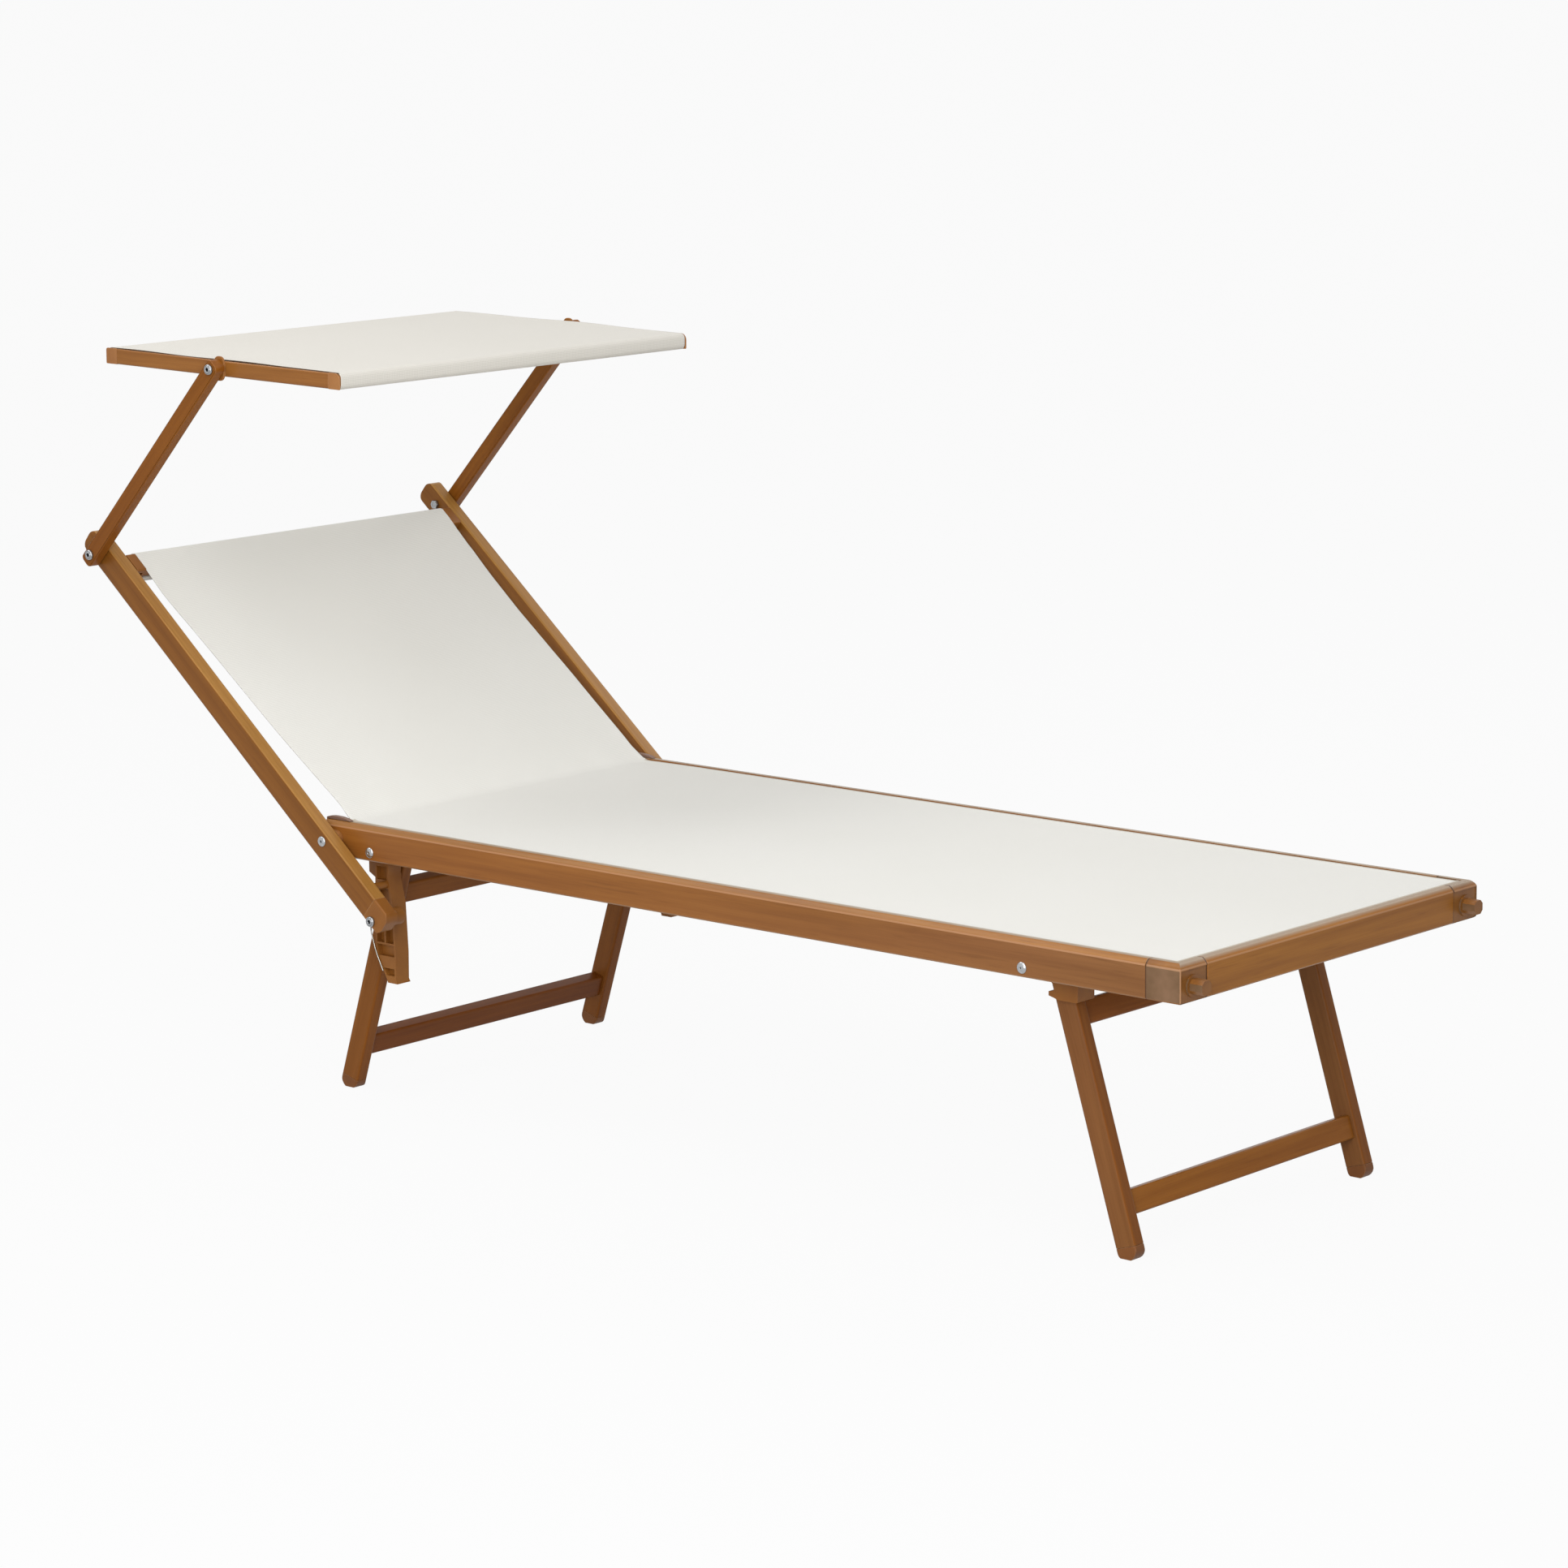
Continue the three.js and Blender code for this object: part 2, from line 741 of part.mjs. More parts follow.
function legTube(outward, tubeEnd) {
  const middle = outward * legPivotOffset;
  const inner = legWidth / 2 - legPivotOffset;
  const outer = legWidth / 2 + legPivotOffset;
  const startAngle = (Math.acos(inner / legTopRadius) * 180) / Math.PI;
  const top = arc([0, 0], legTopRadius, 0, 180 - startAngle, 3 * cornerSteps);
  const outline = [[outer, -tubeEnd], [outer, -legEdgeRadius], ...top, [-inner, -tubeEnd]]
    .map(([out, z]) => [outward * out, z]);
  const low = [middle - legWidth / 2, legInnerY];
  const high = [middle + legWidth / 2, legOuterY];
  const section = roundedRectangle(low, high, legEdgeRadius);
  const hollow = drawnIn(low, high, legWall, legEdgeRadius);
  return tube(alongZ, section, hollow, -tubeEnd, legTopRadius)
    .intersect(alongY(outline, legInnerY - overrun, legOuterY + overrun))
    .subtract(rod(pinBore, legInnerY - overrun, legOuterY + overrun, [0, 0]));
}

function footCap(group, outward, tubeEnd, centre) {
  const middle = outward * legPivotOffset;
  const half = legWidth / 2;
  const tip = arc([middle, -centre], half, 180, 360, 4 * cornerSteps);
  const outline = [[middle - half, -tubeEnd - fitGap], ...tip, [middle + half, -tubeEnd - fitGap]];
  const low = [middle - half, legInnerY];
  const high = [middle + half, legOuterY];
  const section = roundedRectangle(low, high, legEdgeRadius);
  const body = alongY(outline, legInnerY, legOuterY)
    .intersect(alongZ(section, -centre - half, -tubeEnd));
  const spigot = drawnIn(low, high, legWall + fitGap, legEdgeRadius);
  const plug = alongZ(spigot, -tubeEnd - fitGap, footSpigot - tubeEnd);
  group.updateMatrixWorld(true);
  const ground = new THREE.BoxGeometry(seatWidth, seatWidth, legWidth);
  ground.translate(group.position.x, 0, -legWidth / 2);
  ground.applyMatrix4(group.matrixWorld.clone().invert());
  return body.add(plug).subtract(toSolid(ground));
}

function crossBar(outward, place) {
  const middle = outward * legPivotOffset;
  const low = [middle - barThickness / 2, place - barHeight / 2];
  const high = [middle + barThickness / 2, place + barHeight / 2];
  const end = legInnerY - fitGap;
  const hollow = drawnIn(low, high, barWall, legEdgeRadius);
  return tube(alongY, roundedRectangle(low, high, legEdgeRadius), hollow, -end, end);
}

for (const [end, pivot] of Object.entries(legPivots)) {
  const legs = new THREE.Group();
  legs.position.set(pivot.x, 0, legPivotZ);
  legs.rotation.y = -pivot.outward * degrees(pivot.lean);
  lounger.add(legs);
  const ground = legReach(pivot.lean, 0);
  const centre = legReach(pivot.lean, legWidth / 2 - footCut);
  const tubeEnd = centre - footStraight;
  addPair(legs, `${end}_leg`, legTube(pivot.outward, tubeEnd), woodFilm);
  addOne(legs, `${end}_leg_top_bar`, crossBar(pivot.outward, upperBarPlace - ground), woodFilm);
  addOne(legs, `${end}_leg_bottom_bar`, crossBar(pivot.outward, lowerBarPlace - ground), woodFilm);
  addPair(legs, `${end}_foot_cap`, footCap(legs, pivot.outward, tubeEnd, centre), brownPlastic);
}

// Recline racks

function rackEdges() {
  return rackEdgeShares.map(([drop, front, back]) => ({
    z: -drop * rackLength,
    front: front * rackReach,
    back: back * rackReach,
  }));
}

// The rack's front and back edges at one height, between the rows of its table
function rackEdgeAt(z) {
  const rows = rackEdges();
  const next = Math.max(1, rows.findIndex((row) => row.z <= z));
  const [above, below] = [rows[next - 1], rows[next]];
  const share = (above.z - z) / (above.z - below.z);
  return {
    front: THREE.MathUtils.lerp(above.front, below.front, share),
    back: THREE.MathUtils.lerp(above.back, below.back, share),
  };
}

function rack() {
  const x = legPivots.rear.x;
  const rows = rackEdges();
  const outline = [
    ...rows.map((row) => [row.front, row.z]),
    ...rows.reverse().map((row) => [row.back, row.z]),
  ].map(([out, z]) => [x + out, legPivotZ + z]);
  const plate = alongY(outline, rackInnerY, rackOuterY);
  const hub = rod(rackHubRadius, rackInnerY, rackOuterY, [x, legPivotZ]);
  const neck = alongY(
    rectangle(
      [x - rackHubRadius, legPivotZ - rackEdgeShares[0][0] * rackLength - rackRim],
      [x + rackNeckFront, legPivotZ],
    ),
    rackInnerY,
    rackOuterY,
  );
  let body = joined(plate, hub, neck);
  for (const [start, end] of rackPocketShares) {
    const top = rackEdgeAt(-start * rackLength);
    const bottom = rackEdgeAt(-end * rackLength);
    const pocket = [
      [top.back + rackRim, -start * rackLength],
      [top.front - rackRim, -start * rackLength],
      [bottom.front - rackRim, -end * rackLength],
      [bottom.back + rackRim, -end * rackLength],
    ].map(([out, z]) => [x + out, legPivotZ + z]);
    body = body
      .subtract(alongY(pocket, rackOuterY - rackPocketDepth, rackOuterY + overrun))
      .subtract(alongY(pocket, rackInnerY - overrun, rackInnerY + rackPocketDepth));
  }
  const [ribStart, ribEnd] = rackPocketShares[ribbedPocket];
  const rib = alongY(
    rectangle(
      [x - rackRim / 2, legPivotZ - ribEnd * rackLength - rackRim / 2],
      [x + rackRim / 2, legPivotZ - ribStart * rackLength + rackRim / 2],
    ),
    rackInnerY,
    rackOuterY,
  );
  const lugPoint = [x + lugPlace, legPivotZ - lugDrop];
  const lug = rod(lugRadius, rackInnerY, rackOuterY + lugLength, lugPoint);
  const bore = rod(pinBore, rackInnerY - overrun, rackOuterY + overrun, [x, legPivotZ]);
  return joined(body, rib, lug).subtract(bore);
}

function rackSpring() {
  const y = rackOuterY + fitGap + springRadius;
  const path = new THREE.CatmullRomCurve3(springShares.map(([out, drop]) => new THREE.Vector3(
    legPivots.rear.x + out * rackReach,
    y,
    legPivotZ - drop * rackLength,
  )));
  const ring = circle([0, 0], springRadius, springSides)
    .map(([across, up]) => new THREE.Vector2(across, up));
  return toSolid(new THREE.ExtrudeGeometry(new THREE.Shape(ring), {
    steps: springSteps,
    extrudePath: path,
  }));
}

addPair(seat, "rack", rack(), brownPlastic);
addPair(seat, "rack_spring_wire", rackSpring(), zinc);

// Backrest, level in its own frame: its rails run along -X from the hinge line at the origin

const backrest = new THREE.Group();
backrest.position.set(hingeX, 0, hingeZ);
backrest.rotation.y = degrees(recline);
lounger.add(backrest);

const lowerEnd = followerPlace + followerOverhang - followerLength;
const armPivot = [-armPivotPlace, -armPivotDrop];

function backRailSection() {
  return roundedRectangle(
    [backRailInnerY, -backRailBelow],
    [backRailOuterY, backRailAbove],
    backRailEdgeRadius,
  );
}

function backRailHollow(clearance) {
  return drawnIn(
    [backRailInnerY, -backRailBelow],
    [backRailOuterY, backRailAbove],
    backRailWall + clearance,
    backRailEdgeRadius,
  );
}

function backRail() {
  const capStart = backCapLength - backRailLength;
  const open = alongX(backRailHollow(0), capStart, lowerEnd + overrun);
  const profile = alongX(backRailSection(), capStart, lowerEnd - fitGap).subtract(open);
  const side = roundedRectangle(
    [-backRailLength, -backRailBelow],
    [capStart + 2 * backRailEndRadius, backRailAbove],
    backRailEndRadius,
    2 * cornerSteps,
  );
  const cap = alongY(side, backRailInnerY - overrun, backRailOuterY + overrun)
    .intersect(alongX(backRailSection(), -backRailLength, capStart));
  const across = [backRailInnerY - overrun, backRailOuterY + overrun];
  return profile.add(cap)
    .subtract(rod(pinBore, ...across, [0, 0]))
    .subtract(rod(screwBore, ...across, armPivot));
}

const followerBolt = [followerPlace, -followerDrop];
const followerInnerY = rackOuterY + followerSideGap;
const nutPocket = nutThickness + fitGap;

// Moulded end of a backrest rail, with the boss that rides on the rack
function follower() {
  const end = followerPlace + followerOverhang;
  const side = roundedRectangle(
    [lowerEnd - 2 * backRailEndRadius, -backRailBelow],
    [end, backRailAbove],
    backRailEndRadius,
    2 * cornerSteps,
  );
  const block = alongY(side, backRailInnerY - overrun, backRailOuterY + overrun)
    .intersect(alongX(backRailSection(), lowerEnd, end));
  const plug = alongX(backRailHollow(fitGap), lowerEnd - spigotLength / 2, lowerEnd);
  const boss = rod(followerBossRadius, followerInnerY, backRailInnerY, followerBolt);
  const across = [followerInnerY - overrun, backRailOuterY + overrun];
  const pocketRadius = nutRadius + 2 * fitGap;
  const pocket = rod(
    pocketRadius,
    followerInnerY - overrun,
    followerInnerY + nutPocket,
    followerBolt,
    hexSides,
  );
  return joined(block, plug, boss)
    .subtract(rod(screwBore, ...across, followerBolt))
    .subtract(pocket);
}

// A screw with a socket head outside, a nut inside and, where there is room, a washer between
function socketScrew(innerFaceY, outerFaceY, place, washer = null) {
  const headStart = outerFaceY + fitGap;
  const nutEnd = innerFaceY - fitGap;
  const headTop = headStart + screwHeadHeight;
  const screw = turned([
    [0, nutEnd - nutThickness],
    [screwRadius, nutEnd - nutThickness],
    [screwRadius, headStart],
    [screwHeadRadius, headStart],
    [screwHeadRadius, headStart + screwHeadHeight / 2],
    [screwHeadTopRadius, headTop],
    [0, headTop],
  ], place);
  const nut = rod(nutRadius, nutEnd - nutThickness, nutEnd, place, hexSides);
  const socket = rod(socketRadius, headTop - socketDepth, headTop + overrun, place, hexSides);
  const body = screw.add(nut).subtract(socket);
  return washer ? body.add(rod(washerRadius, washer[0], washer[1], place)) : body;
}

const topTubeLow = [-topTubePlace - topTubeDepth / 2, topTubeMiddle - topTubeHeight / 2];
const topTubeHigh = [-topTubePlace + topTubeDepth / 2, topTubeMiddle + topTubeHeight / 2];

function topTube() {
  const [low, high] = [topTubeLow, topTubeHigh];
  const end = backRailInnerY - connectorWidth - 2 * fitGap;
  const hollow = drawnIn(low, high, topTubeWall, topTubeRadius);
  return tube(alongY, roundedRectangle(low, high, topTubeRadius), hollow, -end, end);
}

function topCorner() {
  const grow = fitGap + slingThickness;
  const [low, high] = [topTubeLow, topTubeHigh];
  const outerY = backRailInnerY - fitGap;
  const innerY = outerY - connectorWidth;
  const block = alongY(
    roundedRectangle([low[0] - grow, low[1] - grow], [high[0] + grow, high[1] + grow], connectorRadius),
    innerY,
    outerY,
  );
  const half = connectorHole / 2;
  const middleY = (innerY + outerY) / 2;
  const hole = alongX(
    rectangle([middleY - half, topTubeMiddle - half], [middleY + half, topTubeMiddle + half]),
    high[0] + grow - connectorHoleDepth,
    high[0] + grow + overrun,
  );
  const spigot = drawnIn(low, high, topTubeWall + fitGap, topTubeRadius);
  const plug = alongY(spigot, innerY - spigotLength, innerY);
  return block.subtract(hole).add(plug);
}

// The sling's path: a shallow dip up to the top tube, then round the tube and back under it
function backSlingPath() {
  const half = [topTubeDepth / 2 + sleeveOffset, topTubeHeight / 2 + sleeveOffset];
  const start = [-slingStart, slingStartAbove + slingThickness / 2];
  const end = [half[0] - topTubePlace, topTubeMiddle + half[1]];
  const rows = slingDipShares.length - 1;
  const points = slingDipShares.map((dip, index) => {
    const share = index / rows;
    return [
      THREE.MathUtils.lerp(start[0], end[0], share),
      THREE.MathUtils.lerp(start[1], end[1], share) - dip * slingDip,
    ];
  });
  const radius = topTubeRadius + sleeveOffset;
  const left = -topTubePlace - half[0] + radius;
  const high = topTubeMiddle + half[1] - radius;
  const low = topTubeMiddle - half[1] + radius;
  return [
    ...points,
    ...arc([left, high], radius, 90, 180, cornerSteps),
    ...arc([left, low], radius, 180, 270, cornerSteps),
    [sleeveTail - topTubePlace, topTubeMiddle - half[1]],
  ];
}

function backrestSling() {
  return alongY(strip(backSlingPath(), slingThickness), slingEdge - halfWidth, halfWidth - slingEdge);
}

addPair(backrest, "backrest_rail", backRail(), woodFilm);
addOne(backrest, "backrest_top_tube", topTube(), woodFilm);
addPair(backrest, "top_corner", topCorner(), brownPlastic);
addOne(backrest, "backrest_sling", backrestSling(), slingFabric);
addPair(backrest, "follower", follower(), brownPlastic);
addPair(
  backrest,
  "follower_bolt",
  socketScrew(followerInnerY + nutPocket, backRailOuterY, followerBolt),
  zinc,
);

// Canopy arms, level in their own frame: they run along +X from their lower pivot

const arms = new THREE.Group();
arms.position.set(armPivot[0], 0, armPivot[1]);
arms.rotation.y = -degrees(armAngle + recline);
backrest.add(arms);

function canopyArm() {
  const side = roundedRectangle(
    [-armLowEnd, -armWidth / 2],
    [armLength + armTopEnd, armWidth / 2],
    armEndRadius,
  );
  const low = [armInnerY, -armWidth / 2];
  const high = [armOuterY, armWidth / 2];
  const hollow = alongX(
    drawnIn(low, high, armWall, armEdgeRadius),
    armPlug - armLowEnd,
    armLength + armTopEnd - armPlug,
  );
  const across = [armInnerY - overrun, armOuterY + overrun];
  return alongY(side, ...across)
    .intersect(alongX(
      roundedRectangle(low, high, armEdgeRadius),
      -armLowEnd - overrun,
      armLength + armTopEnd + overrun,
    ))
    .subtract(hollow)
    .subtract(rod(screwBore, ...across, [0, 0]))
    .subtract(rod(screwBore, ...across, [armLength, 0]));
}

addPair(arms, "canopy_arm", canopyArm(), woodFilm);
addPair(
  arms,
  "arm_screw",
  socketScrew(
    backRailInnerY,
    armOuterY,
    [0, 0],
    [backRailOuterY + fitGap, armInnerY - fitGap],
  ),
  zinc,
);

// Canopy, level in its own frame about its pivots

const canopy = new THREE.Group();
canopy.position.set(armLength, 0, 0);
canopy.rotation.y = degrees(armAngle + canopyTilt);
arms.add(canopy);

const barEnd = canopyHalfLength - elbowLength;

function barHollow(clearance) {
  return drawnIn(
    [sideBarInnerY, -sideBarHeight / 2],
    [sideBarOuterY, rebateZ],
    sideBarWall + clearance,
    sideBarRadius,
  );
}

// A bar's upper face is cut down to take the cover's edge, inside a lip
function sideBar() {
  const section = roundedRectangle(
    [sideBarInnerY, -sideBarHeight / 2],
    [sideBarOuterY, sideBarHeight / 2],
    sideBarRadius,
  );
  const rebate = rectangle([sideBarInnerY - overrun, rebateZ], [lipInnerY, sideBarHeight]);
  const saddle = roundedRectangle(
    [-saddleWidth / 2, -saddleHeight / 2],
    [saddleWidth / 2, saddleHeight / 2],
    saddleRadius,
    2 * cornerSteps,
  );
  const bore = rod(screwBore, sideBarInnerY - overrun, armInnerY + overrun, [0, 0]);
  return alongX(section, fitGap - barEnd, barEnd - fitGap)
    .subtract(alongX(rebate, -canopyHalfLength, canopyHalfLength))
    .subtract(alongX(barHollow(0), -canopyHalfLength, canopyHalfLength))
    .add(alongY(saddle, sideBarOuterY - sideBarWall / 2, armInnerY - fitGap))
    .subtract(bore);
}

function canopyTubeOutline(place, skin) {
  const half = canopyTubeSize / 2;
  const low = [place - half, -half];
  const high = [place + half, half];
  return skin
    ? drawnIn(low, high, skin, canopyTubeRadius)
    : roundedRectangle(low, high, canopyTubeRadius);
}

function canopyTube(side) {
  const end = sideBarInnerY - 2 * fitGap;
  const place = side * canopyTubePlace;
  const outline = canopyTubeOutline(place, 0);
  return tube(alongY, outline, canopyTubeOutline(place, canopyTubeWall), -end, end);
}

// A plate in line with the bar's lip, and the tube's shape carried on inside it
function elbow(side, topRadius) {
  const high = sideBarHeight / 2;
  const half = canopyTubeSize / 2;
  const low = elbowLowRadius;
  const plate = [
    [barEnd, -high],
    ...arc([canopyHalfLength - low, low - high], low, -90, 0, 1),
    ...arc([canopyHalfLength - topRadius, high - topRadius], topRadius, 0, 90, 2 * cornerSteps),
    [barEnd, high],
  ];
  const inner = [canopyTubeOutline(canopyTubePlace, 0), rectangle([barEnd, -half], [canopyTubePlace, half])];
  const turnedRound = (outline) => outline.map(([x, z]) => [side * x, z]);
  const blocks = inner.map((outline) => alongY(
    turnedRound(outline),
    sideBarInnerY - fitGap,
    sideBarOuterY - fitGap,
  ));
  const intoBar = side > 0 ? [barEnd - elbowSpigot, barEnd] : [-barEnd, elbowSpigot - barEnd];
  const barSpigot = alongX(barHollow(fitGap), ...intoBar);
  const tubeSpigot = alongY(
    canopyTubeOutline(side * canopyTubePlace, canopyTubeWall + fitGap),
    sideBarInnerY - elbowSpigot,
    sideBarInnerY,
  );
  return joined(alongY(turnedRound(plate), lipInnerY, sideBarOuterY), ...blocks, barSpigot, tubeSpigot);
}

// The cover's path: hem, round the rear tube, across with a slight sag, round the front tube, hem
function coverPath() {
  const half = canopyTubeSize / 2 + sleeveOffset;
  const radius = canopyTubeRadius + sleeveOffset;
  const centre = half - radius;
  const across = [];
  for (let step = 1; step < coverSteps; step += 1) {
    const share = step / coverSteps;
    const x = canopyTubePlace * (2 * share - 1);
    across.push([x, half - coverSag * Math.sin(Math.PI * share) ** 2]);
  }
  const rear = -canopyTubePlace;
  const front = canopyTubePlace;
  return [
    [rear + coverHem, -half],
    ...arc([rear - centre, -centre], radius, 270, 180, cornerSteps),
    ...arc([rear - centre, centre], radius, 180, 90, cornerSteps),
    ...across,
    ...arc([front + centre, centre], radius, 90, 0, cornerSteps),
    ...arc([front + centre, -centre], radius, 0, -90, cornerSteps),
    [front - coverHem, -half],
  ];
}

// Over the side bars to their lips; the hems stay between the bars
function canopyCover() {
  const edge = lipInnerY - coverEdgeGap;
  const hemEnd = barEnd + fitGap;
  const barZone = rectangle([-hemEnd, -sideBarHeight], [hemEnd, 0]);
  const hemEdge = sideBarInnerY - coverEdgeGap;
  return alongY(strip(coverPath(), slingThickness), -edge, edge)
    .subtract(alongY(barZone, hemEdge, sideBarOuterY))
    .subtract(alongY(barZone, -sideBarOuterY, -hemEdge));
}

addPair(canopy, "canopy_side_bar", sideBar(), woodFilm);
addOne(canopy, "canopy_front_tube", canopyTube(1), woodFilm);
addOne(canopy, "canopy_rear_tube", canopyTube(-1), woodFilm);
addPair(canopy, "canopy_elbow_front", elbow(1, elbowFrontRadius), brownPlastic);
addPair(canopy, "canopy_elbow_rear", elbow(-1, elbowRearRadius), brownPlastic);
addOne(canopy, "canopy_cover", canopyCover(), slingFabric);
addPair(canopy, "canopy_screw", socketScrew(sideBarInnerY, armOuterY, [0, 0]), zinc);

// Stand the part with the middle of its footprint's box over the origin
const box = new THREE.Box3().setFromObject(lounger, true);
lounger.position.set(-(box.min.x + box.max.x) / 2, 0, -box.min.z);

export default lounger;
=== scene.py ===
import json
import math
import bmesh
import bpy
import numpy as np
from mathutils import Matrix, Vector

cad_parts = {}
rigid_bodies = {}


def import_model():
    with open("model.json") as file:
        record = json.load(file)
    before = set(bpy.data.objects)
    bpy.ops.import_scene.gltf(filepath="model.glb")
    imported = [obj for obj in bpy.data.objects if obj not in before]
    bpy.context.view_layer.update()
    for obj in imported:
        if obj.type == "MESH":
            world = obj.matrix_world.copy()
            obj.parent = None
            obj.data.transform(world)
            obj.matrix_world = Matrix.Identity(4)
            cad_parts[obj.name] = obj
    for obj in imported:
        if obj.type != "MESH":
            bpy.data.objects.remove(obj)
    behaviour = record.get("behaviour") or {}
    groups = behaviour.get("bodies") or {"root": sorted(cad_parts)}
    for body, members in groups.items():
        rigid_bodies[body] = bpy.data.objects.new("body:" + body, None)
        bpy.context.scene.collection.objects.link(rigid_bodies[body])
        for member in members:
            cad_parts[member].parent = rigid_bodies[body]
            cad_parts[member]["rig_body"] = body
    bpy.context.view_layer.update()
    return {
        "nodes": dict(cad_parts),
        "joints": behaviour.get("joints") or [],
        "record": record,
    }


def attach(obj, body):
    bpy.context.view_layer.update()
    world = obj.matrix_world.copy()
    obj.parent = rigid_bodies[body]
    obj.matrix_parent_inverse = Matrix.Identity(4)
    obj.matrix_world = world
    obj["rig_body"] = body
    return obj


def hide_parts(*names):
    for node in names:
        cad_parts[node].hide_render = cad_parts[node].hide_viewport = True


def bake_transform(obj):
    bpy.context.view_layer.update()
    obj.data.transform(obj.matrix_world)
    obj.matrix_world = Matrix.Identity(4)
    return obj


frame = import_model()
nodes = frame["nodes"]
pins = {joint["name"]: Vector(joint["pos_m"]) for joint in frame["joints"]}
print("frame loaded:", len(nodes), "nodes")

# helpers

mmPerMetre = 1000


def grey(value):
    return (value, value, value, 1.0)


def tilted(origin, degreesUp):
    # a turn about Y: with the angle's cosine c and sine s, [along, above] in a piece's own level
    # frame goes to [x + along c + above s, z - along s + above c]
    turn = math.radians(degreesUp)
    cos, sin = math.cos(turn), math.sin(turn)
    x, z = origin

    def place(points):
        points = np.asarray(points, float)
        along, above = points[..., 0], points[..., 1]
        return np.stack([x + along * cos + above * sin, z - along * sin + above * cos], -1)

    return place


def smoothStep(value, low, high):
    # 0 up to low, 1 from high on, and 3 t squared - 2 t cubed between them
    share = np.clip((value - low) / (high - low), 0, 1)
    return share * share * (3 - 2 * share)


def readVectors(items, name):
    # one row of x, y and z for each vertex or face of a mesh
    values = np.empty(len(items) * 3, np.float32)
    items.foreach_get(name, values)
    return values.astype(float).reshape(-1, 3)


def gridFaces(rows, columns, closed=False):
    # one quad between each four neighbours in a grid of points numbered row by row;
    # closed joins the last column to the first
    index = np.arange(rows * columns).reshape(rows, columns)
    if closed:
        index = np.concatenate([index, index[:, :1]], 1)
    quads = np.stack([index[:-1, :-1], index[:-1, 1:], index[1:, 1:], index[1:, :-1]], -1)
    return quads.reshape(-1, 4)


def meshPiece(name, points, faces, smooth=True):
    mesh = bpy.data.meshes.new(name)
    mesh.from_pydata(np.asarray(points, float).reshape(-1, 3).tolist(), [], faces)
    mesh.polygons.foreach_set("use_smooth", np.full(len(mesh.polygons), smooth))
    mesh.update()
    piece = bpy.data.objects.new(name, mesh)
    bpy.context.scene.collection.objects.link(piece)
    return piece


def settle(piece):
    # applies every modifier and keeps the result as the piece's own mesh
    graph = bpy.context.evaluated_depsgraph_get()
    mesh = bpy.data.meshes.new_from_object(
        piece.evaluated_get(graph), preserve_all_data_layers=True, depsgraph=graph)
    old = piece.data
    piece.modifiers.clear()
    piece.data = mesh
    mesh.name = piece.name
    bpy.data.meshes.remove(old)


def standFor(piece, body, slotName, material, *replaced):
    # gives a piece its finish, the CAD nodes that it replaces and the body that it rides; its slot's
    # name is not used
    piece.data.materials.clear()
    piece.data.materials.append(material)
    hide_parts(*replaced)
    if body:
        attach(piece, body)


# camera and light

viewpoint = {
    "target": (0.061374, -0.01525, 0.45601),
    "azimuth": 41.718,  # degrees round from -Y
    "elevation": 10.6415,
    "roll": -0.7864,
    "distance": 6.31671,  # metres
    "lens": 111.0676,  # millimetres, as is the sensor
    "sensor": 36,
    "clip": (0.1, 400),
}

studio = {
    "skyStrength": 0.46,
    "floorColour": 0.5,
    "floorGlow": 0.94,  # share of plain white that the camera sees in the floor
    "floorHalf": 120.0,  # metres from its middle to its edge
}
lamps = {
    "softKey": {
        "place": (1.0, -1.9, 3.4), "target": (-0.15, 0.0, 0.4), "size": (2.6, 2.6), "power": 40.0},
    "viewFill": {
        "place": (1.92, -3.0, 1.4), "target": (-0.6, 0.0, 0.6), "size": (2.2, 2.2), "power": 70.0},
    "headStrip": {
        "place": (-2.0, -0.95, 3.05), "target": (0.1, -0.3, 0.37), "size": (1.6, 1.2), "power": 22.0},
    "farRim": {
        "place": (0.6, 3.2, 2.9), "target": (0.3, 0.0, 0.38), "size": (1.8, 1.4), "power": 26.0},
}


def addCamera(view):
    azimuth, elevation, roll = (math.radians(view[k]) for k in ("azimuth", "elevation", "roll"))
    back = Vector((
        math.sin(azimuth) * math.cos(elevation),
        -math.cos(azimuth) * math.cos(elevation),
        math.sin(elevation),
    ))
    right = Vector((math.cos(azimuth), math.sin(azimuth), 0))
    up = back.cross(right)
    rolledRight = right * math.cos(roll) + up * math.sin(roll)
    rolledUp = up * math.cos(roll) - right * math.sin(roll)
    data = bpy.data.cameras.new("photoView")
    data.lens, data.sensor_width = view["lens"], view["sensor"]
    data.clip_start, data.clip_end = view["clip"]
    camera = bpy.data.objects.new("photoView", data)
    bpy.context.scene.collection.objects.link(camera)
    turn = Matrix((rolledRight, rolledUp, back)).transposed().to_4x4()
    place = Vector(view["target"]) + back * view["distance"]
    camera.matrix_world = Matrix.Translation(place) @ turn
    bpy.context.scene.camera = camera


def emptyTree(owner, outputKind):
    # a node tree with nothing in it but its output
    owner.use_nodes = True
    tree = owner.node_tree
    tree.nodes.clear()
    return tree, tree.nodes.new(outputKind)


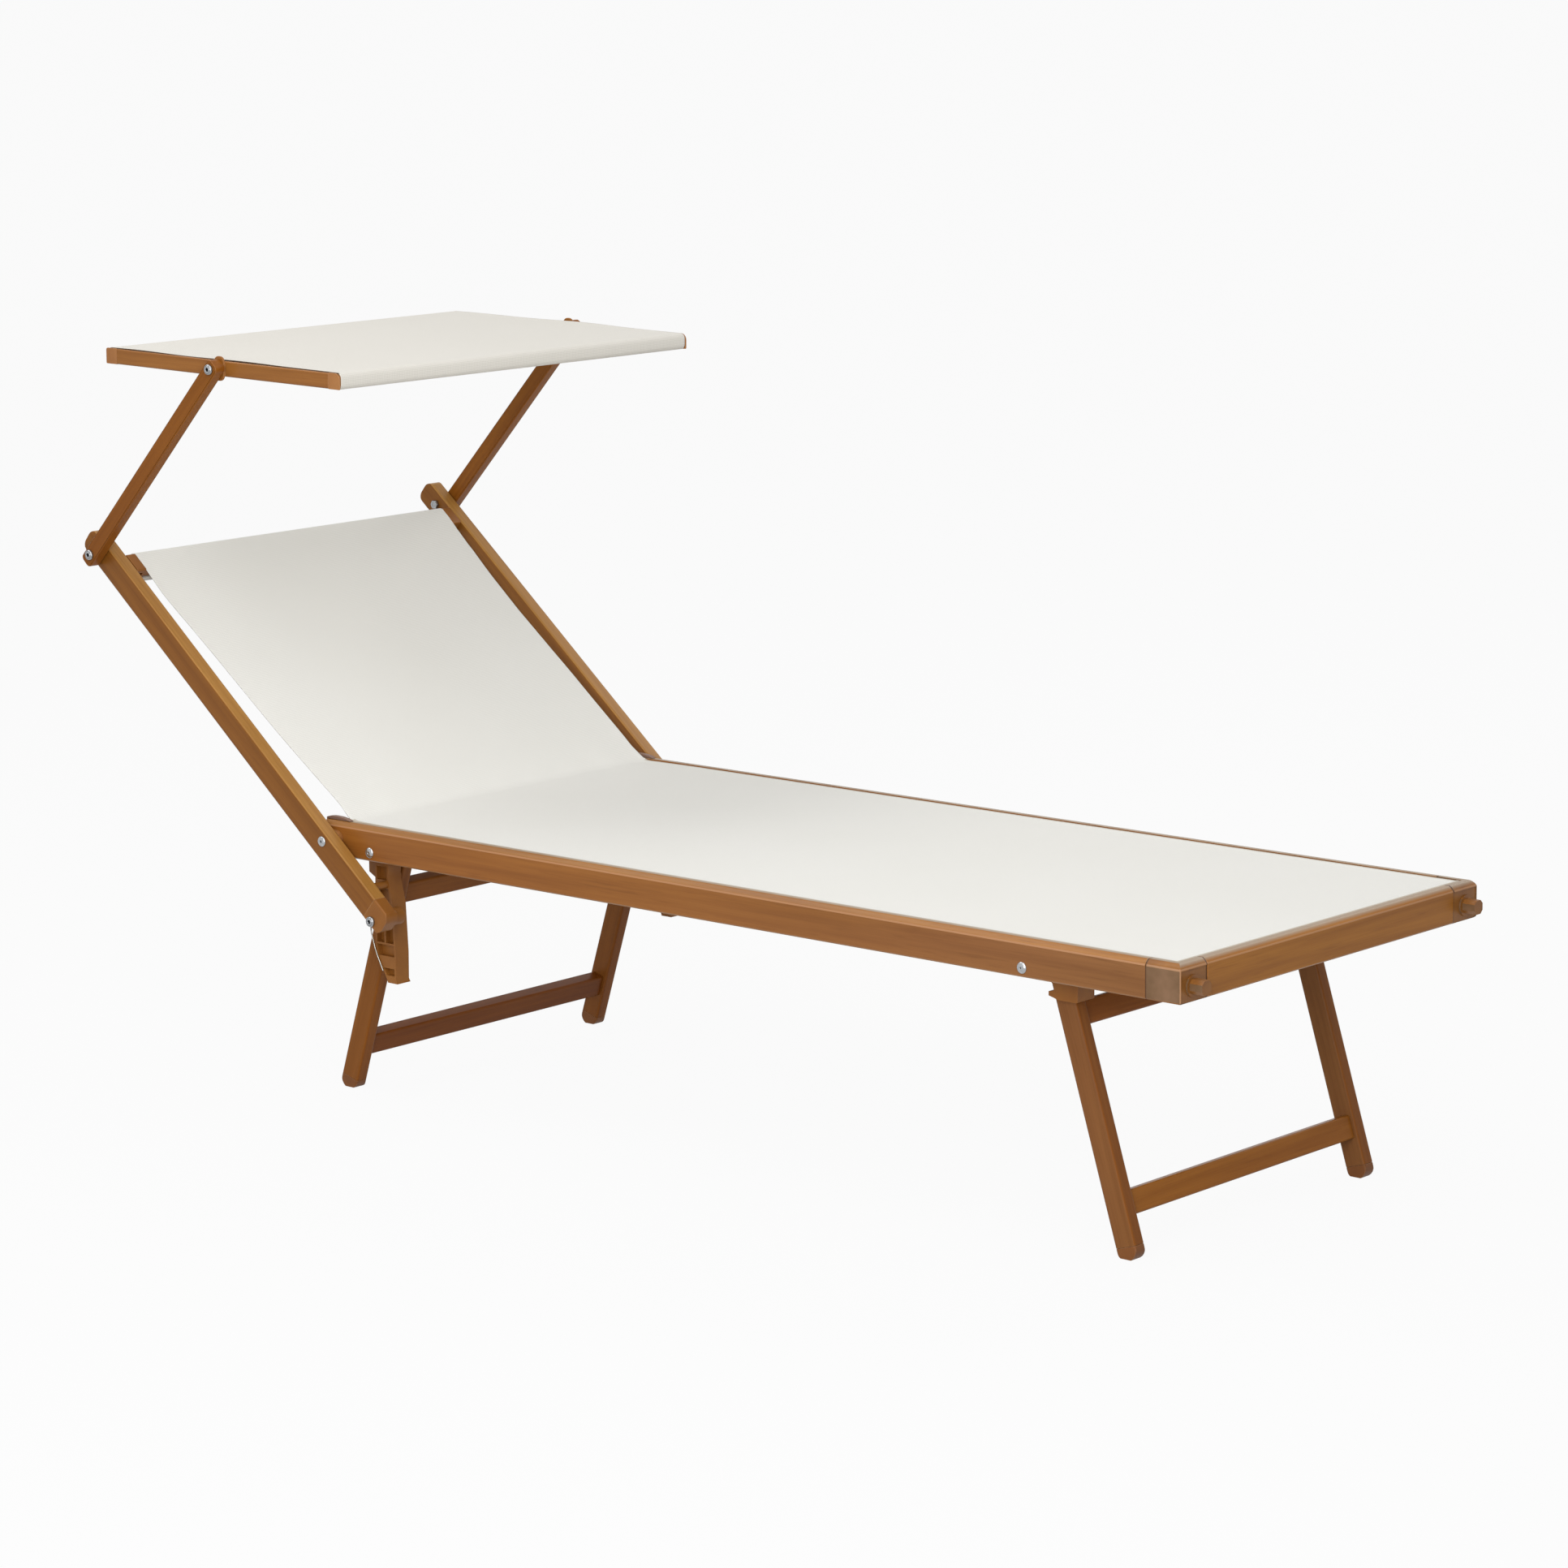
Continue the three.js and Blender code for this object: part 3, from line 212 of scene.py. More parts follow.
def splitByRay(tree, output, lit, seen, share):
    # lit is what lights the piece; camera, glossy and transmission rays see a share of seen in it
    path = tree.nodes.new("ShaderNodeLightPath")
    last = path.outputs["Is Camera Ray"]
    for name in ("Is Glossy Ray", "Is Transmission Ray"):
        larger = tree.nodes.new("ShaderNodeMath")
        larger.operation = "MAXIMUM"
        tree.links.new(last, larger.inputs[0])
        tree.links.new(path.outputs[name], larger.inputs[1])
        last = larger.outputs[0]
    scaled = tree.nodes.new("ShaderNodeMath")
    scaled.operation = "MULTIPLY"
    scaled.inputs[1].default_value = share
    tree.links.new(last, scaled.inputs[0])
    mix = tree.nodes.new("ShaderNodeMixShader")
    tree.links.new(scaled.outputs[0], mix.inputs[0])
    tree.links.new(lit.outputs[0], mix.inputs[1])
    tree.links.new(seen.outputs[0], mix.inputs[2])
    tree.links.new(mix.outputs[0], output.inputs["Surface"])


def addSky(s):
    world = bpy.data.worlds.new("studioSky")
    bpy.context.scene.world = world
    tree, output = emptyTree(world, "ShaderNodeOutputWorld")
    sky, white = (tree.nodes.new("ShaderNodeBackground") for _ in range(2))
    for background in (sky, white):
        background.inputs["Color"].default_value = (1, 1, 1, 1)
    sky.inputs["Strength"].default_value = s["skyStrength"]
    splitByRay(tree, output, sky, white, 1.0)


def addLamp(name, place, target, size, power):
    lamp = bpy.data.lights.new(name, "AREA")
    lamp.shape, lamp.energy = "RECTANGLE", power
    lamp.size, lamp.size_y = size
    held = bpy.data.objects.new(name, lamp)
    bpy.context.scene.collection.objects.link(held)
    held.location = place
    held.rotation_euler = (Vector(target) - Vector(place)).to_track_quat("-Z", "Y").to_euler()


def addFloor(s):
    half = s["floorHalf"]
    corners = [(-half, -half, 0), (half, -half, 0), (half, half, 0), (-half, half, 0)]
    floor = meshPiece("floor", corners, [(0, 1, 2, 3)], smooth=False)
    material = bpy.data.materials.new("paleFloor")
    tree, output = emptyTree(material, "ShaderNodeOutputMaterial")
    matt, glow = tree.nodes.new("ShaderNodeBsdfDiffuse"), tree.nodes.new("ShaderNodeEmission")
    matt.inputs["Color"].default_value = grey(s["floorColour"])
    splitByRay(tree, output, matt, glow, s["floorGlow"])
    floor.data.materials.append(material)


addCamera(viewpoint)
addSky(studio)
addFloor(studio)
for name, lamp in lamps.items():
    addLamp(name, **lamp)
print("camera, light and floor ready")

# finishes


def linear(red, green, blue):
    # a colour as read from a screen, 0 to 255, as the shader's linear value: the usual screen
    # curve, turned round
    share = np.array([red, green, blue]) / 255
    low, high = share / 12.92, ((share + 0.055) / 1.055) ** 2.4
    return (*np.where(share <= 0.04045, low, high).tolist(), 1.0)


class Finish:
    # one material under construction: a principled shader and what feeds it

    def __init__(self, name, roughness, **sockets):
        self.material = bpy.data.materials.new(name)
        self.material.use_nodes = True
        self.tree = self.material.node_tree
        self.shader = self.tree.nodes["Principled BSDF"]
        self.shader.inputs["Roughness"].default_value = roughness
        for socket, value in sockets.items():
            self.shader.inputs[socket.replace("_", " ")].default_value = value

    def node(self, kind, **values):
        made = self.tree.nodes.new("ShaderNode" + kind)
        for key, value in values.items():
            if hasattr(made, key):
                setattr(made, key, value)
            else:
                made.inputs[key].default_value = value
        return made

    def link(self, out, into):
        self.tree.links.new(out, into)

    def feed(self, value, socket):
        # a constant goes straight onto the socket
        if isinstance(value, bpy.types.NodeSocket):
            self.link(value, socket)
        else:
            socket.default_value = value

    def maths(self, operation, *values):
        made = self.node("Math", operation=operation)
        for value, socket in zip(values, made.inputs):
            self.feed(value, socket)
        return made.outputs[0]

    def mapped(self, source, scale, rotation=(0, 0, 0), shift=(0, 0, 0)):
        mapping = self.node("Mapping", Location=shift, Rotation=rotation, Scale=scale)
        self.link(source, mapping.inputs["Vector"])
        return mapping.outputs["Vector"]

    def noise(self, vector, scale, detail=2.0, roughness=0.5):
        noise = self.node("TexNoise", Scale=scale, Detail=detail, Roughness=roughness)
        self.link(vector, noise.inputs["Vector"])
        return noise.outputs["Fac"]

    def streaks(self, vector, scales, detail, roughness=0.5):
        # noise with a scale of its own on each axis
        return self.noise(self.mapped(vector, scales), 1.0, detail, roughness)

    def ramp(self, value, span, first=grey(0), last=grey(1)):
        # from the first colour at the span's start to the last one at its end
        ramp = self.node("ValToRGB")
        for stop, position, colour in zip(ramp.color_ramp.elements, span, (first, last)):
            stop.position, stop.color = position, colour
        self.link(value, ramp.inputs["Fac"])
        return ramp.outputs["Color"]

    def mix(self, share, first, second, blend="MIX"):
        mix = self.node("Mix", data_type="RGBA", blend_type=blend)
        for value, socket in ((share, 0), (first, 6), (second, 7)):
            self.feed(value, mix.inputs[socket])
        return mix.outputs[2]

    def coordinate(self, place, axis):
        spot = self.node("SeparateXYZ")
        self.link(place, spot.inputs[0])
        return spot.outputs[axis]

    def between(self, value, span):
        # 0 at the span's start, 1 at its end
        share = self.node("MapRange", **{"From Min": span[0], "From Max": span[1]})
        self.link(value, share.inputs["Value"])
        return share.outputs["Result"]

    def attribute(self, name):
        return self.node("Attribute", attribute_name=name).outputs["Fac"]

    def colour(self, value):
        self.link(value, self.shader.inputs["Base Color"])

    def bump(self, height, strength, distance):
        bump = self.node("Bump", Strength=strength, Distance=distance)
        self.link(height, bump.inputs["Height"])
        self.link(bump.outputs["Normal"], self.shader.inputs["Normal"])


frameLipSheen = {  # painted sheen, a grey-beige reflection on the seat frame's lip beside the cloth
    "colour": linear(156, 140, 118),
    "share": 0.75,
    "heights": (0.3822, 0.3856),  # metres, between which the lip turns to that colour
}
# painted highlight: the lighter colour that eased edges go towards
paintedEdgeHighlight = linear(196, 148, 110)


def withLipSheen(finish, place, colour):
    # painted sheen: the frame's marked faces turn grey-beige between the two heights
    height = finish.between(finish.coordinate(place, "Z"), frameLipSheen["heights"])
    share = finish.maths("MULTIPLY", height, finish.attribute("lipSheen"))
    return finish.mix(share, colour, frameLipSheen["colour"])


woodLook = {
    "light": linear(164, 108, 50),
    "dark": linear(134, 82, 33),
    "stroke": linear(112, 64, 24),
    "rosy": linear(154, 97, 58),
    "roughness": 0.34,
    # noise scales along the grain and across it, detail and, for the fibres, roughness
    "bands": ((4.0, 85, 85), 3.0),
    "fibres": ((7, 520, 520), 3.0, 0.6),
    "strokes": ((16, 300, 300), 2.0),
    "blush": ((1.3, 9, 9), 1.0),
    # the stretch of each noise over which it shows
    "bandSpan": (0.3, 0.7),
    "fibreSpan": (0.25, 0.75),
    "strokeSpan": (0.6, 0.78),
    "blushSpan": (0.5, 0.75),
    # how strongly each shows
    "fibreShare": 0.4,
    "strokeShare": 0.34,
    "blushShare": 0.35,
    "bump": (0.12, 0.0002),  # strength, metres
    "shiftSteps": (1.37, 0.61, 0.43),  # moves the pattern on from piece to piece, in metres
    "shiftLimits": (3, 1, 1),
}
railFade = {  # painted reflection: the side rails' flanks turn rosier and greyer towards the foot
    "span": (-0.25, 0.85),  # metres along X
    "flank": (0.7, 0.75, 1.02, 1.0),
}


def woodFilm(name, grain, seed, toneAndShade, flankLightAndShade, shine, fade=None):
    # bands, fibres and short dark strokes, all drawn out along the grain's direction
    look = woodLook
    finish = Finish(name, look["roughness"], Specular_IOR_Level=shine)
    turn = Vector(grain).rotation_difference(Vector((1, 0, 0))).to_euler()
    place = finish.node("TexCoord").outputs["Object"]
    shift = [seed * step % limit for step, limit in zip(look["shiftSteps"], look["shiftLimits"])]
    along = finish.mapped(place, (1, 1, 1), rotation=turn, shift=shift)
    bands = finish.streaks(along, *look["bands"])
    fibres = finish.streaks(along, *look["fibres"])
    strokes = finish.streaks(along, *look["strokes"])
    blush = finish.streaks(along, *look["blush"])

    bandTone, fibreTone = finish.ramp(bands, look["bandSpan"]), finish.ramp(fibres, look["fibreSpan"])
    tone = finish.mix(look["fibreShare"], bandTone, fibreTone)
    colour = finish.mix(tone, look["dark"], look["light"])
    flush = finish.ramp(blush, look["blushSpan"], last=grey(look["blushShare"]))
    colour = finish.mix(flush, colour, look["rosy"])
    streak = finish.ramp(strokes, look["strokeSpan"], last=grey(look["strokeShare"]))
    colour = finish.mix(streak, colour, look["stroke"])

    # the piece's own tone with painted light and shade: one tint for the whole piece and another for the
    # faces that look along Y
    flankShare = (*flankLightAndShade, 1.0)
    if fade:
        towardsFoot = finish.between(finish.coordinate(place, "X"), fade["span"])
        flankShare = finish.mix(towardsFoot, flankShare, fade["flank"])
    share = finish.mix(finish.attribute("flank"), (*toneAndShade, 1.0), flankShare)
    # painted sheen on the frame's lip, then the painted highlight on eased edges
    colour = withLipSheen(finish, place, finish.mix(1.0, colour, share, "MULTIPLY"))
    finish.colour(finish.mix(finish.attribute("eased"), colour, paintedEdgeHighlight))
    finish.bump(fibres, *look["bump"])
    return finish.material


plasticLook = {
    "shine": 0.28,
    "cloud": 16.0,  # noise scale of the slow clouding
    "cloudDetail": (3.0, 0.6),
    "cloudSpan": (0.32, 0.68),
    "flankSpan": (0.35, 0.65),
    "grit": 900.0,
    "bump": (0.15, 0.0001),
}
capCrownShade = {"height": 0.38675, "colour": linear(126, 98, 84)}  # painted shade, greyer and darker, on the end caps' upper rim
cornerGapShadow = {"width": 0.0023, "colour": linear(84, 54, 30)}  # painted shadow in the gap beside a tube's end


def mouldedPlastic(
        name, pale, deep, roughness, cloud=plasticLook["cloud"], crown=None, flank=None, gapShadows=None):
    # slow clouding of two tones with a fine moulded texture; flank is the two colours of a painted
    # reflection on the faces that look along Y, and the last argument the X and the Y up to which a
    # painted gap shadow is drawn
    look = plasticLook
    finish = Finish(name, roughness, Specular_IOR_Level=look["shine"])
    place = finish.node("TexCoord").outputs["Object"]
    clouds = finish.noise(place, cloud, *look["cloudDetail"])
    grit = finish.noise(place, look["grit"])
    colour = finish.mix(finish.ramp(clouds, look["cloudSpan"]), deep, pale)
    # painted shade, greyer and darker, above the crown's height
    if crown:
        above = finish.maths("GREATER_THAN", finish.coordinate(place, "Z"), crown["height"])
        colour = finish.mix(above, colour, crown["colour"])
    # painted reflection, clouded between two colours, on the faces that look along Y
    if flank:
        mottledReflection = finish.mix(finish.ramp(clouds, look["flankSpan"]), *flank)
        colour = finish.mix(finish.attribute("flank"), colour, mottledReflection)
    # painted sheen on the frame's lip, then the painted highlight on eased edges
    colour = withLipSheen(finish, place, colour)
    colour = finish.mix(finish.attribute("eased"), colour, paintedEdgeHighlight)
    # painted shadow in the gap beside a tube's end
    for axis, edge in zip("XY", gapShadows or ()):
        fromMiddle = finish.maths("ABSOLUTE", finish.coordinate(place, axis))
        colour = finish.mix(finish.maths("LESS_THAN", fromMiddle, edge), colour, cornerGapShadow["colour"])
    finish.colour(colour)
    finish.bump(grit, *look["bump"])
    return finish.material


platingLook = {
    "roughness": 0.27,
    "brushed": ((900, 900, 900), 2.0),
    "brushedSpan": (0.3, 0.7),
    # painted shade in sockets and grooves
    "sunk": linear(58, 58, 60),
    "bump": (0.08, 0.00005),
}


def plating(name, pale, deep):
    # painted shade where a piece's own attribute says that it is sunk, in sockets and grooves, and a
    # slight darkening over the rest of the piece
    look = platingLook
    finish = Finish(name, look["roughness"], Metallic=1.0)
    place = finish.node("TexCoord").outputs["Object"]
    brushed = finish.streaks(place, *look["brushed"])
    metal = finish.mix(finish.ramp(brushed, look["brushedSpan"]), deep, pale)
    finish.colour(finish.mix(finish.attribute("sunk"), metal, look["sunk"]))
    finish.bump(brushed, *look["bump"])
    return finish.material


fabricLook = {
    "seatThread": linear(240, 239, 234),
    "seatGap": linear(222, 220, 213),
    "coverThread": linear(232, 228, 220),
    "coverGap": linear(214, 210, 200),
    "edgeShade": linear(182, 170, 150),  # painted shade on the cloth's edge along a rail
    "edgeShadow": linear(96, 74, 54),  # painted shadow, the dark line under a lifted edge
    "pitch": 0.0011,  # metres between threads
    "roughness": 0.85,
    "sheen": 0.15,
    "sheenRoughness": 0.5,
    "threadSpan": (0.0, 0.3),
    "slub": ((60, 900, 1), 2.0),  # thicker threads along the cloth, and across it
    "slubAcross": ((900, 60, 1), 2.0),
    "slubSpan": (0.2, 0.8),
    "slubShade": grey(0.955),
    "cloud": ((4, 4, 1), 2.0),
    "cloudSpan": (0.3, 0.7),
    "cloudShade": (0.985, 0.985, 0.98, 1),
    "bump": (0.25, 0.0003),
}
waveTurn = 20  # radians that Blender's wave texture turns in a metre at a scale of 1


def wovenFabric(name, threadColour, gapColour):
    # plain weave on a UV map in metres: threads of both directions pass over each other in turn,
    # as the product of two sine waves that are two threads long
    look = fabricLook
    finish = Finish(
        name, look["roughness"], Sheen_Weight=look["sheen"], Sheen_Roughness=look["sheenRoughness"])
    uv = finish.node("TexCoord").outputs["UV"]
    waveScale = 2 * math.pi / look["pitch"] / waveTurn / 2
    waves = []
    for direction in ("X", "Y"):
        wave = finish.node(
            "TexWave", wave_type="BANDS", bands_direction=direction, wave_profile="SIN",
            Distortion=0.0, Scale=waveScale)
        finish.link(uv, wave.inputs["Vector"])
        waves.append(wave.outputs["Fac"])
    weave = finish.maths("MULTIPLY", *waves)
    slub, slubAcross, cloud = (
        finish.streaks(uv, *look[kind]) for kind in ("slub", "slubAcross", "cloud"))
    thread = finish.mix(finish.ramp(weave, look["threadSpan"]), gapColour, threadColour)
    streaks = finish.mix(
        0.5, finish.ramp(slub, look["slubSpan"]), finish.ramp(slubAcross, look["slubSpan"]))
    shade = finish.ramp(streaks, (0.0, 1.0), look["slubShade"])
    tint = finish.ramp(cloud, look["cloudSpan"], look["cloudShade"])
    colour = finish.mix(1.0, thread, shade, "MULTIPLY")
    colour = finish.mix(1.0, colour, tint, "MULTIPLY")
    edgeShade = finish.attribute("edgeShade")  # up to a half it is the painted shade on the edge, and from there the painted shadow under a lifted edge
    colour = finish.mix(finish.ramp(edgeShade, (0.0, 0.5)), colour, look["edgeShade"])
    finish.colour(finish.mix(finish.ramp(edgeShade, (0.5, 1.0)), colour, look["edgeShadow"]))
    finish.bump(weave, *look["bump"])
    return finish.material


def seamAt(node, axis):
    # how far from the middle the painted shadow in a tube's end gap reaches
    farthest = np.abs(readVectors(nodes[node].data.vertices, "co")[:, axis]).max()
    return float(farthest) + cornerGapShadow["width"]


brownPlastic = mouldedPlastic("brownPlastic", linear(148, 94, 37), linear(130, 79, 29), 0.45)
elbowPlastic = mouldedPlastic("elbowPlastic", linear(170, 116, 66), linear(152, 99, 52), 0.42)
footPlastic = mouldedPlastic("footPlastic", linear(126, 76, 32), linear(110, 64, 24), 0.5)
capPlastic = mouldedPlastic(
    "capPlastic", linear(160, 108, 60), linear(146, 96, 50), 0.45, crown=capCrownShade)
cornerPlastic = mouldedPlastic(
    "cornerPlastic", linear(148, 98, 45), linear(126, 79, 33), 0.38, cloud=24.0,
    flank=(linear(104, 77, 50), linear(128, 97, 71)),
    gapShadows=(seamAt("side_rail_left", 0), seamAt("foot_rail", 1)))
zincPlate = plating("zincPlate", linear(198, 200, 202), linear(168, 170, 172))
springWire = plating("springWire", linear(150, 147, 140), linear(118, 115, 110))
slingWeave = wovenFabric("slingWeave", fabricLook["seatThread"], fabricLook["seatGap"])
coverWeave = wovenFabric("coverWeave", fabricLook["coverThread"], fabricLook["coverGap"])
print("finishes ready")

# rigid pieces

slopes = {  # degrees that a piece climbs towards -X, the head end
    "backrest": 39.9,
    "arm": -46.2,
    "canopy": 1.2,
}
leans = {"front": -17.2, "rear": 18.3}  # degrees that a leg's upper end leans towards +X, the foot
hinge = (pins["backrest_recline"].x, pins["backrest_recline"].z)


def leaning(degreesOver):
    # the direction of a leg, from its foot up
    turn = math.radians(degreesOver)
    return (math.sin(turn), 0, math.cos(turn))


def alongSlope(degreesUp):
    # the direction down a piece that climbs towards -X
    turn = math.radians(degreesUp)
    return (math.cos(turn), 0, -math.sin(turn))


def stem(node):
    # a node's name without its side
    return node.removesuffix("_left").removesuffix("_right")


edgeWork = {
    "doubles": 2e-5,  # metres within which a node's loose corners are one
    "flat": 0.6,  # degrees up to which two faces are one flat
    "sharp": 38,  # degrees from which an edge is eased
    "width": 0.0012,
    "usual": 0.36,  # share of the width for most edges
    "segments": 2,
    "slivers": 2e-6,  # metres within which the eased edges' own corners are one
    "shoulderLine": 0.38,  # height of the rails' crisp line
    "outerY": 0.305,  # the seat frame's outer faces
    "outerX": 0.925484,
    "reach": 0.0012,  # metres from that line that still count as on it
    "glow": 0.18,  # how far an eased edge goes towards its painted highlight colour
    # the same on the seat frame's crisp shoulder line, a stronger painted highlight
    "strongHighlight": 0.5,
}
plainEdged = ("rack", "leg_bracket_front", "leg_bracket_rear")  # their edges stay as moulded
# shares of the width that differ from the usual one
ownEdges = {"backrest_rail": 0.75, "canopy_arm": 0.6, "canopy_side_bar": 0.6, "foot_corner": 0.0}
seatFrame = ("side_rail", "foot_rail", "foot_corner")


def onShoulder(spots):
    # on the crisp line that runs round the seat frame, or on a corner's upright edge
    x, y, z = np.asarray(spots, float).T
    level = np.abs(z - edgeWork["shoulderLine"]) < edgeWork["reach"]
    atSide = np.abs(np.abs(y) - edgeWork["outerY"]) < edgeWork["reach"]
    atFoot = np.abs(x - edgeWork["outerX"]) < edgeWork["reach"]
    return level & (atSide | atFoot) | (atSide & atFoot)


def mergedMesh(node):
    # a CAD node's triangles joined into flats, with a bevel weight on each edge that gets eased
    share = ownEdges.get(stem(node), edgeWork["usual"])
    shape = bmesh.new()
    shape.from_mesh(nodes[node].data)
    bmesh.ops.remove_doubles(shape, verts=shape.verts, dist=edgeWork["doubles"])
    bmesh.ops.dissolve_limit(
        shape, angle_limit=math.radians(edgeWork["flat"]), verts=shape.verts, edges=shape.edges)
    weights = shape.edges.layers.float.new("bevel_weight_edge")
    sharp = math.radians(edgeWork["sharp"])
    for edge in shape.edges:
        if len(edge.link_faces) == 2 and edge.calc_face_angle() > sharp:
            middle = (edge.verts[0].co + edge.verts[1].co) / 2
            crisp = stem(node) in seatFrame and onShoulder(middle)
            edge[weights] = 1.0 if crisp else share
            edge.smooth = edge[weights] > 0 and stem(node) not in plainEdged
    mesh = bpy.data.meshes.new(node)
    shape.to_mesh(mesh)
    shape.free()
    mesh.polygons.foreach_set("use_smooth", np.ones(len(mesh.polygons), bool))
    return mesh


def dressed(node, material, slotName):
    # a merged copy of a CAD node with its edges eased and its normals weighted
    mesh = mergedMesh(node)
    mesh.materials.append(material)
    mesh.materials.append(None)
    piece = bpy.data.objects.new(f"{node}_dressed", mesh)
    bpy.context.scene.collection.objects.link(piece)
    if stem(node) not in plainEdged:
        eased = piece.modifiers.new("eased", "BEVEL")
        eased.width, eased.segments = edgeWork["width"], edgeWork["segments"]
        eased.limit_method = "WEIGHT"
        eased.use_clamp_overlap = False
        eased.miter_outer = "MITER_ARC"
        eased.material = 1  # marks the new faces, for the attribute below
        joined = piece.modifiers.new("joined", "WELD")
        joined.merge_threshold = edgeWork["slivers"]
    weighted = piece.modifiers.new("weighted", "WEIGHTED_NORMAL")
    weighted.keep_sharp = True
    settle(piece)
    markFaces(piece.data, stem(node) in seatFrame)
    standFor(piece, nodes[node]["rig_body"], slotName, material, node)


facing = {  # limits on a face's normal
    "flank": 0.8,  # along Y, either way
    "upward": 0.3,
    "footward": 0.2,
    "level": 0.1,  # along X, either way, of a face that looks neither to foot nor head
    "outward": 0.02,  # normal times place, both along Y
}


def markFaces(mesh, ofFrame):
    # attributes that the finishes read: eased edges, for their painted highlight; faces that look along
    # Y, for painted light and shade; and the frame's lip, for its painted sheen
    normal, centre = (readVectors(mesh.polygons, name) for name in ("normal", "center"))
    slotOf = np.empty(len(mesh.polygons), np.int32)
    mesh.polygons.foreach_get("material_index", slotOf)
    # painted highlight on the faces that the bevel made, stronger on the frame's crisp shoulder line
    strong = ofFrame & onShoulder(centre)
    eased = np.where(strong, edgeWork["strongHighlight"], edgeWork["glow"]) * (slotOf == 1)
    flank = np.abs(normal[:, 1]) > facing["flank"]
    notOut = normal[:, 1] * centre[:, 1] < facing["outward"]
    inward = (normal[:, 0] > facing["footward"]) | (np.abs(normal[:, 0]) < facing["level"]) & notOut
    # painted sheen on the frame's upward faces on the cloth's side
    lipSheen = frameLipSheen["share"] * (ofFrame & (normal[:, 2] > facing["upward"]) & inward)
    for name, values in (("eased", eased), ("flank", flank), ("lipSheen", lipSheen)):
        mark = mesh.attributes.new(name, "FLOAT", "FACE")
        mark.data.foreach_set("value", values.astype(np.float32))
    mesh.polygons.foreach_set("material_index", np.zeros_like(slotOf))


acrossGrain = (0, 1, 0)
woodGrain = {  # the other tubes' grain runs across
    "side_rail": (1, 0, 0),
    "front_leg": leaning(leans["front"]),
    "rear_leg": leaning(leans["rear"]),
    "backrest_rail": alongSlope(slopes["backrest"]),
    "canopy_arm": alongSlope(slopes["arm"]),
    "canopy_side_bar": alongSlope(slopes["canopy"]),
}
woodToneAndShade = {  # how much of red, green and blue a film keeps, partly the piece's own tone and partly painted light and shade, darker on pieces under the seat and the canopy; then the same on its sides, where it is painted light and shade; and its shine
    "side_rail": ((1.0, 1.07, 1.0), (0.9, 0.82, 0.66), 0.24),
    "foot_rail": ((1.1, 1.08, 0.62), (1.0, 1.0, 1.0), 0.2),
    "front_leg": ((0.73, 0.63, 0.5), (0.68, 0.7, 0.96), 0.12),
    "rear_leg": ((0.75, 0.62, 0.4), (0.75, 0.67, 0.52), 0.12),
    "front_leg_top_bar": ((0.75, 0.6, 0.4), (1.0, 1.0, 1.0), 0.1),
    "front_leg_bottom_bar": ((1.0, 0.92, 0.62), (1.0, 1.0, 1.0), 0.1),
    "rear_leg_top_bar": ((0.78, 0.66, 0.46), (1.0, 1.0, 1.0), 0.1),
    "rear_leg_bottom_bar": ((0.6, 0.43, 0.21), (1.0, 1.0, 1.0), 0.12),
    "canopy_arm": ((0.84, 0.72, 0.42), (0.76, 0.66, 0.38), 0.12),
    "backrest_rail": ((1.24, 1.55, 1.8), (0.74, 0.7, 0.46), 0.2),
}
# for the other films: their own tone, with a slight painted shade on the faces that look along Y
plainToneAndShade = ((1.0, 1.0, 1.0), (0.95, 0.95, 0.92), 0.2)
plasticOf = {
    "foot_corner": cornerPlastic,
    "rail_end_cap": capPlastic,
    "canopy_elbow_front": elbowPlastic,
    "canopy_elbow_rear": elbowPlastic,
    "front_foot_cap": footPlastic,
    "rear_foot_cap": footPlastic,
}
slots = {part["node"]: part["material_slot"] for part in frame["record"]["subparts"]}

for order, node in enumerate(sorted(nodes), start=1):
    slotName = slots[node]
    if slotName == "wood_film":
        grain = woodGrain.get(stem(node), acrossGrain)
        toneAndShade = woodToneAndShade.get(stem(node), plainToneAndShade)
        fade = railFade if stem(node) == "side_rail" else None
        dressed(node, woodFilm(f"film_{node}", grain, order, *toneAndShade, fade), slotName)
    elif slotName.endswith("plastic"):
        dressed(node, plasticOf.get(stem(node), brownPlastic), slotName)
    elif "spring" in node:
        dressed(node, springWire, slotName)
print("rigid pieces dressed")

# fasteners, turned about lines along Y

# rows of radius, depth below the head's top and six-sidedness, in mm, from the socket out to the
# underside of the head
socketHead = [
    (0, 2.6, 1), (2.5, 2.6, 1), (2.7, 0.5, 1), (3.0, 0.1, 0.6), (3.5, 0, 0), (4.6, 0.02, 0),
    (4.9, 0.35, 0), (5.4, 0.4, 0), (5.9, 0.45, 0), (6.6, 1.0, 0), (7.05, 2.0, 0), (7.2, 3.1, 0),
    (7.2, 4.1, 0), (7.0, 4.2, 0),
]
domedHead = [
    (0, 0.75, 0), (0.9, 0.7, 0), (1.3, 0.15, 0), (1.8, 0, 0), (3.4, 0.12, 0), (4.9, 0.5, 0),
    (6.1, 1.1, 0), (6.8, 1.7, 0), (7.1, 2.2, 0), (6.9, 2.4, 0),
]
boltHead = [
    (0, 1.3, 0), (1.5, 1.25, 0), (2.0, 0.3, 0), (2.6, 0, 0), (4.4, 0.15, 0), (5.7, 0.6, 0),
    (6.6, 1.25, 0), (7.05, 1.9, 0), (7.1, 2.3, 0), (6.9, 2.4, 0),
]
